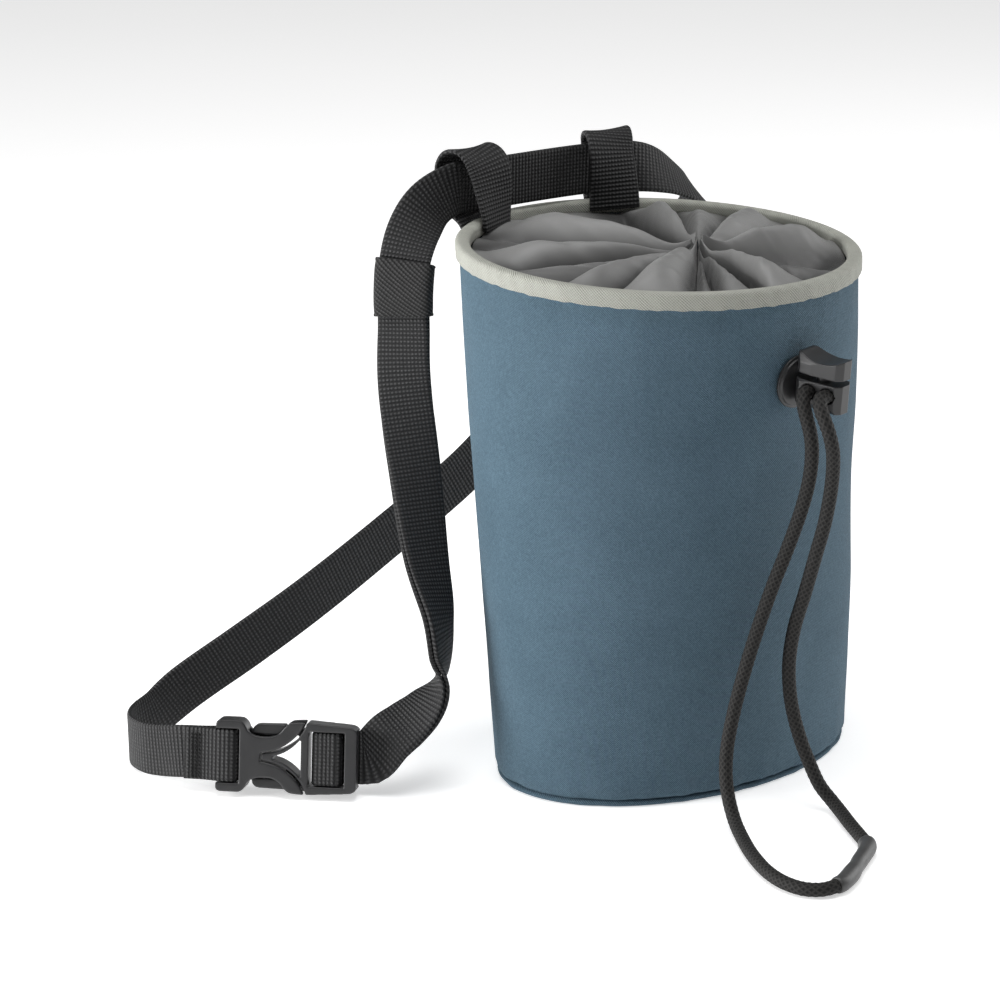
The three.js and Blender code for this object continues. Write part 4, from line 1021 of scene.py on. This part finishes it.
def female_half():
    body = buckle_plate(FEMALE_HALF, -half_shell, half_shell)
    bar_low, bar_high = SEWN_BAR_X - BUCKLE_BAR / 2, SEWN_BAR_X + BUCKLE_BAR / 2
    combine(body, slot_box(-1, bar_low, -9, 9), "DIFFERENCE")
    combine(body, slot_box(bar_high, SEWN_BAR_X + sewn_turn + layer / 2 + gap, -9, 9), "DIFFERENCE")
    for low, high in ((BUCKLE_BAR / 2, 9), (-9, -BUCKLE_BAR / 2)):
        combine(body, slot_box(bar_low - 1, bar_high + 1, low, high), "DIFFERENCE")
    room = PRONG_THICKNESS / 2 + gap
    for side in (-1, 1):
        edges = sorted((side * BUCKLE_WIDTH * 0.18, side * BUCKLE_WIDTH * 0.6))
        combine(body, box(BUCKLE_LENGTH * 0.22, BUCKLE_LENGTH, *edges, -room, room), "DIFFERENCE")
    return body


def male_half():
    body = buckle_plate(MALE_HALF, -half_shell + gap, half_shell - gap)
    combine(body, buckle_plate(WINDOW_HALF, -9, 9), "DIFFERENCE")
    inner, outer = SLIDE_BAR_X - slot_room, SLIDE_BAR_X + slot_room
    combine(body, slot_box(inner, outer, -9, 9), "DIFFERENCE")
    combine(body, slot_box(inner, inner + BUCKLE_LENGTH, -9, END_BAR_BACK), "DIFFERENCE")
    bar = box(SLIDE_BAR_X - SLIDE_BAR_WIDTH / 2, SLIDE_BAR_X + SLIDE_BAR_WIDTH / 2,
              -SLOT_HEIGHT / 2 - 0.5, SLOT_HEIGHT / 2 + 0.5,
              -SLIDE_BAR_THICKNESS / 2, SLIDE_BAR_THICKNESS / 2)
    combine(body, bar, "UNION")
    for side in (-1, 1):
        wing = outline(PRONG, BUCKLE_LENGTH, side * BUCKLE_WIDTH / 2)
        combine(body, plate(wing, -PRONG_THICKNESS / 2, PRONG_THICKNESS / 2), "UNION")
        edges = sorted((side * BUCKLE_WIDTH * 0.30, side * BUCKLE_WIDTH * 0.39))
        beam = box(BUCKLE_LENGTH * 0.46, BUCKLE_LENGTH * 0.66, *edges,
                   -PRONG_THICKNESS / 2, PRONG_THICKNESS / 2)
        combine(body, beam, "UNION")
    return body


for node, body, piece_name in (
    ("buckle_female", female_half(), "buckle_socket"),
    ("buckle_male", male_half(), "buckle_tongue"),
):
    moulded = mould(body, piece_name, buckle_space)
    dress(moulded, node, "bag")

# %% [markdown]
# ## The cord lock
# The lock is a small box with two cord holes in its side and a thumb piece on a spring. Pressing the thumb
# piece frees the cords, so it rides on its own body. Its top is hollowed by a large roller, as a thumb is.

# %% The cord lock
LOCK_AZIMUTH = -89.3
LOCK_HEIGHT = 130
LOCK_YAW = math.radians(9.5)
FLANGE_RADIUS, FLANGE_THICKNESS = 8.0, 1.6
LOCK_LENGTH, LOCK_WIDTH, LOCK_DEPTH = 14.6, 11.0, 8.5
BUTTON_HEIGHT, BUTTON_TRAVEL, STEM_RADIUS = 6.0, 1.4, 2.2
HOLE_SHARES = (0.35, 0.75)
LOCK_FOOT = 0.34
# Seen from above, the lock narrows to its foot and to its outer end.
PLAN_HALF = [(0, LOCK_FOOT), (0.14, 0.5), (0.9, 0.36), (1, 0.16)]

foot, head = (Vector(around_bag(LOCK_AZIMUTH, (LOCK_HEIGHT + step) * MM, 0) / MM)
              for step in (-FLANGE_RADIUS, FLANGE_RADIUS))
lock_up = (head - foot).normalized()
turn = math.radians(LOCK_AZIMUTH)
lock_side = Vector((-math.sin(turn), math.cos(turn), 0))
lock_out = lock_side.cross(lock_up)
lock_place = Vector(around_bag(LOCK_AZIMUTH, LOCK_HEIGHT * MM, GAP) / MM)
flange_space = Matrix((
    (lock_out.x, lock_side.x, lock_up.x, lock_place.x),
    (lock_out.y, lock_side.y, lock_up.y, lock_place.y),
    (lock_out.z, lock_side.z, lock_up.z, lock_place.z),
    (0, 0, 0, 1),
))
lock_space = flange_space @ Matrix.Rotation(LOCK_YAW, 4, "Z")
lock_start = FLANGE_THICKNESS + 1.2 * gap + LOCK_FOOT * LOCK_WIDTH * math.sin(LOCK_YAW)
body_bottom = -LOCK_DEPTH * 0.62
body_top = body_bottom + LOCK_DEPTH
BODY_CORNERS = [
    (0.28, 0), (0.5, 0.3), (0.5, 0.9), (0.44, 1), (-0.44, 1), (-0.5, 0.9), (-0.5, 0.3), (-0.28, 0),
]
BUTTON_CORNERS = [
    (0.46, 0), (0.46, 0.55), (0.38, 0.95), (0.3, 1), (-0.3, 1), (-0.38, 0.95), (-0.46, 0.55), (-0.46, 0),
]
lying = Matrix(((0, 0, 1, 0), (1, 0, 0, 0), (0, 1, 0, 0), (0, 0, 0, 1)))


def lock_prism(corners, height, bottom):
    piece = plate([(side * LOCK_WIDTH, bottom + up * height) for side, up in corners], 0, LOCK_LENGTH)
    piece.data.transform(Matrix.Translation((lock_start, 0, 0)) @ lying)
    half = np.array([(lock_start + along * LOCK_LENGTH, side * LOCK_WIDTH) for along, side in PLAN_HALF])
    return combine(piece, plate(both_halves(half), -30, 30), "INTERSECT")


def lock_body():
    body = lock_prism(BODY_CORNERS, LOCK_DEPTH, body_bottom)
    for share in HOLE_SHARES:
        start = (lock_start + share * LOCK_LENGTH, -LOCK_WIDTH * 0.66, body_bottom + LOCK_DEPTH * 0.62)
        combine(body, rod(CORD_DIAMETER / MM / 2 + gap, start, (0, 1, 0), LOCK_WIDTH * 0.4), "DIFFERENCE")
    well = body_top - BUTTON_TRAVEL - 2 * gap - 1
    middle = lock_start + LOCK_LENGTH / 2
    return combine(body, rod(STEM_RADIUS + gap, (middle, 0, well), (0, 0, 1), 9), "DIFFERENCE")


def lock_button():
    base = body_top + BUTTON_TRAVEL + gap
    button = lock_prism(BUTTON_CORNERS, BUTTON_HEIGHT, base)
    start = (lock_start + LOCK_LENGTH * 0.55, -LOCK_WIDTH, base + BUTTON_HEIGHT * 0.7 + LOCK_LENGTH)
    combine(button, rod(LOCK_LENGTH, start, (0, 1, 0), 2 * LOCK_WIDTH, 96), "DIFFERENCE")
    foot = (lock_start + LOCK_LENGTH / 2, 0, body_top - 0.6)
    stem = rod(STEM_RADIUS, foot, (0, 0, 1), base + 1.6 - body_top)
    return combine(button, stem, "UNION")


def lock_flange():
    disc = rod(FLANGE_RADIUS, (0, 0, 0), (1, 0, 0), FLANGE_THICKNESS * 0.55, 64)
    return combine(disc, rod(FLANGE_RADIUS * 0.9, (0, 0, 0), (1, 0, 0), FLANGE_THICKNESS, 64), "UNION")


for node, body, piece_name, rides, space, grain in (
    ("lock_flange", lock_flange(), "lock_washer", "bag", flange_space, 0.22),
    ("lock_body", lock_body(), "lock_case", "bag", lock_space, 0.17),
    ("lock_button", lock_button(), "lock_thumb_piece", "button", lock_space, 0.17),
):
    moulded = mould(body, piece_name, space, grain, 4)
    dress(moulded, node, rides)

# %% [markdown]
# ## Shader maths as plain sums
# A procedural finish is arithmetic on places. In the node editor each sum is a node. Here a wire stands for
# one output socket, and adding or multiplying wires adds the Math nodes. Everything else, textures, ramps and
# mixes, is added by one method that takes the node's type, its settings and its inputs.

# %% Wires and finishes
class Wire:
    """One output socket of a finish. Sums on wires become Math nodes."""

    def __init__(self, finish, socket):
        self.finish = finish
        self.socket = socket

    def math(self, operation, *others):
        values = dict(enumerate((self, *others)))
        return self.finish.add("ShaderNodeMath", {"operation": operation}, values)

    def __add__(self, other):
        return self.math("ADD", other)

    def __sub__(self, other):
        return self.math("SUBTRACT", other)

    def __mul__(self, other):
        return self.math("MULTIPLY", other)

    def __pow__(self, other):
        return self.math("POWER", other)


class Finish:
    """A material in the making."""

    def __init__(self, name):
        self.material = bpy.data.materials.new(name)
        self.material.use_nodes = True
        self.tree = self.material.node_tree
        self.tree.nodes.clear()

    def add(self, kind, settings=None, inputs=None, output=0):
        node = self.tree.nodes.new(kind)
        for key, value in (settings or {}).items():
            if key == "stops":
                while len(node.color_ramp.elements) < len(value):
                    node.color_ramp.elements.new(0.5)
                for element, (place, colour) in zip(node.color_ramp.elements, value):
                    element.position = place
                    element.color = colour
            else:
                setattr(node, key, value)
        for key, value in (inputs or {}).items():
            if isinstance(value, Wire):
                self.tree.links.new(value.socket, node.inputs[key])
            elif value is not None:
                node.inputs[key].default_value = value
        return None if output is None else Wire(self, node.outputs[output])

    def cloth(self):
        """The cloth map's two lengths in metres: along the piece and around or across it."""
        chart = self.add("ShaderNodeUVMap", {"uv_map": "cloth"})
        parts = self.add("ShaderNodeSeparateXYZ", None, {0: chart})
        node = parts.socket.node
        return Wire(self, node.outputs[0]), Wire(self, node.outputs[1])

    def noise(self, scale, detail=3.0, roughness=0.5):
        place = self.add("ShaderNodeTexCoord", None, None, 3)
        return self.add("ShaderNodeTexNoise", None,
                        {"Vector": place, "Scale": scale, "Detail": detail, "Roughness": roughness})

    def mix(self, factor, one, other):
        return self.add("ShaderNodeMix", {"data_type": "RGBA"}, {0: factor, 6: one, 7: other}, 2)

    def rise(self, value, low, high):
        """0 below low, 1 above high, with soft ends."""
        return self.add("ShaderNodeMapRange", {"interpolation_type": "SMOOTHSTEP"},
                        {"Value": value, "From Min": low, "From Max": high})

    def close(self, colour, roughness, height, distance, strength=1.0, **fixed):
        bump = self.add("ShaderNodeBump", None,
                        {"Height": height, "Distance": distance, "Strength": strength})
        values = {"Base Color": colour, "Roughness": roughness, "Normal": bump}
        values.update({key.replace("_", " "): value for key, value in fixed.items()})
        shader = self.add("ShaderNodeBsdfPrincipled", None, values)
        self.add("ShaderNodeOutputMaterial", None, {0: shader}, None)
        print("finish", self.material.name, len(self.tree.nodes), "nodes")
        return self.material


def colour(red, green, blue):
    return (red, green, blue, 1.0)


TURN = 2 * math.pi

# %% [markdown]
# ## Twill for the bag
# Twill steps each yarn one place over in every row, which draws fine slanting ribs. The rib is a sine of the
# sum of both cloth lengths. Yarn breaks come from a faster sine across it, and noise makes some yarns paler.

# %% Canvas twill
RIB = 0.70 * MM


def canvas():
    f = Finish("blue_twill")
    u, v = f.cloth()
    slant = ((u + v) * (TURN / RIB)).math("SINE")
    yarn = ((u - v) * (TURN / (RIB * 0.72))).math("SINE")
    rib = slant * 0.5 + 0.5 + yarn * 0.12
    blotch = f.noise(38.0, 4.0, 0.55)
    fleck = f.noise(1500.0, 2.0, 0.6)
    shade = rib * 0.60 + blotch * 0.26 + fleck * 0.62 - 0.30
    base = f.mix(shade.math("MINIMUM", 1.0), colour(0.020, 0.043, 0.064), colour(0.165, 0.262, 0.335))
    return f.close(base, fleck * 0.12 + 0.72, rib + fleck * 0.4, 0.20 * MM, 1.0,
                   Specular_IOR_Level=0.2)


# %% [markdown]
# ## Ribbed tape
# The rim tape is a plain weave of thicker yarns, so its small blocks alternate. Its colour is paler on the
# yarn tops and darker in between, as painted light and shade on the weave, and noise soils it a little.

# %% Rim tape
def tape():
    f = Finish("pale_tape")
    u, v = f.cloth()
    blocks = (u * (TURN / (0.9 * MM))).math("SINE") * (v * (TURN / (1.0 * MM))).math("SINE")
    slant = ((u + v) * (TURN / (0.85 * MM))).math("SINE")
    weave = blocks * 0.2 + slant * 0.3 + 0.5
    fleck = f.noise(1800.0, 2.0, 0.6)
    wear = f.noise(60.0, 4.0, 0.5)
    # The weave term paints light on the yarn tops and shade between them. The wear noise is soiling at
    # random.
    shade = weave * 0.8 + fleck * 0.35 + wear * 0.25 - 0.22
    base = f.mix(shade.math("MINIMUM", 1.0), colour(0.180, 0.184, 0.160), colour(0.540, 0.545, 0.490))
    return f.close(base, 0.82, weave + fleck * 0.3, 0.24 * MM, 1.0)


# %% [markdown]
# ## Thin nylon
# The cover is a fine plain weave, smooth enough to catch a soft light on every billow. The weave is too fine
# to draw, so it is a faint bump, and the gloss comes from a moderate roughness and a little sheen. The cover
# holds how high each place stands over its creases, and its colour is darkened where that is low, because the
# lights alone leave the creases too pale.

# %% Nylon
def nylon():
    f = Finish("grey_nylon")
    u, v = f.cloth()
    weave = (u * (TURN / (0.45 * MM))).math("SINE") * (v * (TURN / (0.45 * MM))).math("SINE")
    drift = f.noise(90.0, 4.0, 0.5)
    rise = f.add("ShaderNodeAttribute", {"attribute_name": "rise"}, None, 2)
    shade = f.rise(rise, 0.22, 1.0) * 0.80 + drift * 0.20
    base = f.mix(shade, colour(0.014, 0.014, 0.014), colour(0.225, 0.225, 0.222))
    return f.close(base, drift * 0.10 + 0.40, weave * 0.5 + drift * 2.0, 0.05 * MM, 0.6,
                   Specular_IOR_Level=0.6, Sheen_Weight=0.2, Sheen_Roughness=0.35)


# %% [markdown]
# ## Webbing
# Nylon webbing shows knuckles in straight ranks where warp yarns come to the surface. A product of two raised
# cosines gives the ranks. Only the knuckle tops catch the light, so their colour is lifted with a power.

# %% Webbing
def webbing():
    f = Finish("black_webbing")
    u, v = f.cloth()
    rank = (u * (TURN / (1.25 * MM))).math("COSINE") * 0.5 + 0.5
    file = (v * (TURN / (1.15 * MM))).math("COSINE") * 0.5 + 0.5
    knuckle = rank * (file * 0.6 + 0.4)
    fleck = f.noise(1500.0, 2.0, 0.6)
    top = knuckle**1.5
    shade = top * fleck * 1.35
    base = f.mix(shade.math("MINIMUM", 1.0), colour(0.0045, 0.0045, 0.0050), colour(0.085, 0.085, 0.087))
    return f.close(base, fleck * 0.2 + 0.55, knuckle + fleck * 0.3, 0.40 * MM, 1.0,
                   Specular_IOR_Level=0.35)


# %% Elastic
def elastic():
    f = Finish("black_elastic")
    u, v = f.cloth()
    slant = ((u * 1.6 + v) * (TURN / (1.9 * MM))).math("SINE")
    broken = ((v - u * 0.6) * (TURN / (1.1 * MM))).math("SINE")
    weave = slant * 0.38 + broken * 0.12 + 0.5
    fleck = f.noise(1500.0, 2.0, 0.6)
    # Paler colour on the rib tops is a painted highlight, broken into flecks by the fibre noise.
    shade = weave**3.0 * fleck * 1.6
    base = f.mix(shade.math("MINIMUM", 1.0), colour(0.0055, 0.0055, 0.0055), colour(0.065, 0.065, 0.065))
    return f.close(base, fleck * 0.2 + 0.6, weave, 0.25 * MM, 1.0, Specular_IOR_Level=0.3)


# %% [markdown]
# ## Plastics and cord
# Moulded acetal is dark and satin, with a faint grain that breaks up its highlights. The cord's braid is
# already in its mesh, so its finish only adds fibres and a painted highlight that makes the strand tops pale.

# %% Plastics
def moulded_plastic():
    f = Finish("dark_acetal")
    grain = f.noise(5200.0, 2.0, 0.5)
    drift = f.noise(160.0, 3.0, 0.5)
    base = f.mix(drift, colour(0.015, 0.015, 0.016), colour(0.025, 0.025, 0.026))
    return f.close(base, drift * 0.14 + 0.32, grain, 0.02 * MM, 0.5, Specular_IOR_Level=0.55)


def sleeve_plastic():
    f = Finish("grey_sleeve")
    drift = f.noise(220.0, 3.0, 0.5)
    base = f.mix(drift, colour(0.035, 0.035, 0.035), colour(0.065, 0.065, 0.065))
    return f.close(base, drift * 0.15 + 0.38, drift, 0.08 * MM, 0.6)


# %% Cord
def braided_cord():
    f = Finish("black_braid")
    u, v = f.cloth()
    wind = TURN * BRAID_STRANDS / 2 / (math.pi * CORD_DIAMETER)
    one = (v * wind + u * (TURN / BRAID_PITCH)).math("COSINE")
    other = (v * wind - u * (TURN / BRAID_PITCH)).math("COSINE")
    top = one.math("MAXIMUM", other) * 0.5 + 0.5
    fibre = f.noise(3200.0, 2.0, 0.6)
    # Paler colour on the strand tops is a painted highlight, broken into flecks by the fibre noise.
    shade = top**3.0 * fibre * 1.3
    base = f.mix(shade.math("MINIMUM", 1.0), colour(0.0035, 0.0034, 0.0033), colour(0.036, 0.034, 0.032))
    return f.close(base, fibre * 0.2 + 0.62, top + fibre * 0.5, 0.08 * MM, 0.8, Specular_IOR_Level=0.3)


# %% Give each piece its finish
finishes = {
    "canvas": canvas(), "tape": tape(), "nylon": nylon(), "webbing": webbing(), "elastic": elastic(),
    "plastic": moulded_plastic(), "sleeve": sleeve_plastic(), "cord": braided_cord(),
}
WORN_BY = {
    "canvas": ["bag_wall", "base_cloth"],
    "tape": ["rim_tape"],
    "nylon": ["gathered_cover"],
    "webbing": ["belt_webbing", "rim_loop_left", "rim_loop_right"],
    "elastic": ["elastic_keeper"],
    "plastic": ["buckle_socket", "buckle_tongue", "lock_washer", "lock_case", "lock_thumb_piece"],
    "sleeve": ["sleeve"],
    "cord": ["pull_cord_front", "pull_cord_rear"],
}
for finish, names in WORN_BY.items():
    for name in names:
        slots = bpy.data.objects[name].data.materials
        slots.clear()
        slots.append(finishes[finish])

# %% [markdown]
# ## Floor and light
# The bag stands on plain white paper that glows a little, so that it stays white far behind the bag. The main
# light grazes the bag from the left, a weaker one from the right, and a wide one overhead picks out the rim,
# which leaves the front right side darkest.

# %% Floor
floor_mesh = bpy.data.meshes.new("floor")
REACH = 6.0
floor_mesh.from_pydata([(-REACH, -REACH, 0), (REACH, -REACH, 0), (REACH, REACH, 0), (-REACH, REACH, 0)],
                       [], [(0, 1, 2, 3)])
floor = bpy.data.objects.new("floor", floor_mesh)
bpy.context.collection.objects.link(floor)
paper = Finish("white_paper")
white = paper.mix(paper.noise(3.0), colour(0.86, 0.86, 0.86), colour(0.9, 0.9, 0.9))
floor_mesh.materials.append(paper.close(
    white, 0.9, paper.noise(40.0), 0.05 * MM, 0.2,
    Emission_Color=colour(1, 1, 1), Emission_Strength=0.50))


# %% Lights
def area_light(name, place, target, size, power):
    data = bpy.data.lights.new(name, "AREA")
    data.shape = "RECTANGLE"
    data.size, data.size_y = size
    data.energy = power
    lamp = bpy.data.objects.new(name, data)
    lamp.location = place
    lamp.rotation_euler = (Vector(target) - Vector(place)).to_track_quat("-Z", "Y").to_euler()
    bpy.context.collection.objects.link(lamp)
    return lamp


view_way = Vector((math.cos(CAMERA_HEADING), math.sin(CAMERA_HEADING), 0))
view_right = Vector((math.sin(CAMERA_HEADING), -math.cos(CAMERA_HEADING), 0))
centre = Vector((0, 0, 0.08))
# How far to the right of the bag's middle, away from the camera and up, in metres, then size and power.
for name, right, away, up, size, power in (
    ("overhead", -0.05, -0.15, 1.2, (0.7, 0.7), 10),
    ("left", -1.0, -0.15, 0.06, (0.6, 0.7), 18),
    ("right", 1.0, 0.45, 0.25, (0.5, 1.0), 7),
):
    area_light(name, centre + view_right * right + view_way * away + Vector((0, 0, up)), centre, size, power)
world = bpy.data.worlds.new("studio")
world.use_nodes = True
world.node_tree.nodes["Background"].inputs[0].default_value = (1, 1, 1, 1)
world.node_tree.nodes["Background"].inputs[1].default_value = 0.16
bpy.context.scene.world = world
bpy.context.scene.view_settings.view_transform = "Standard"
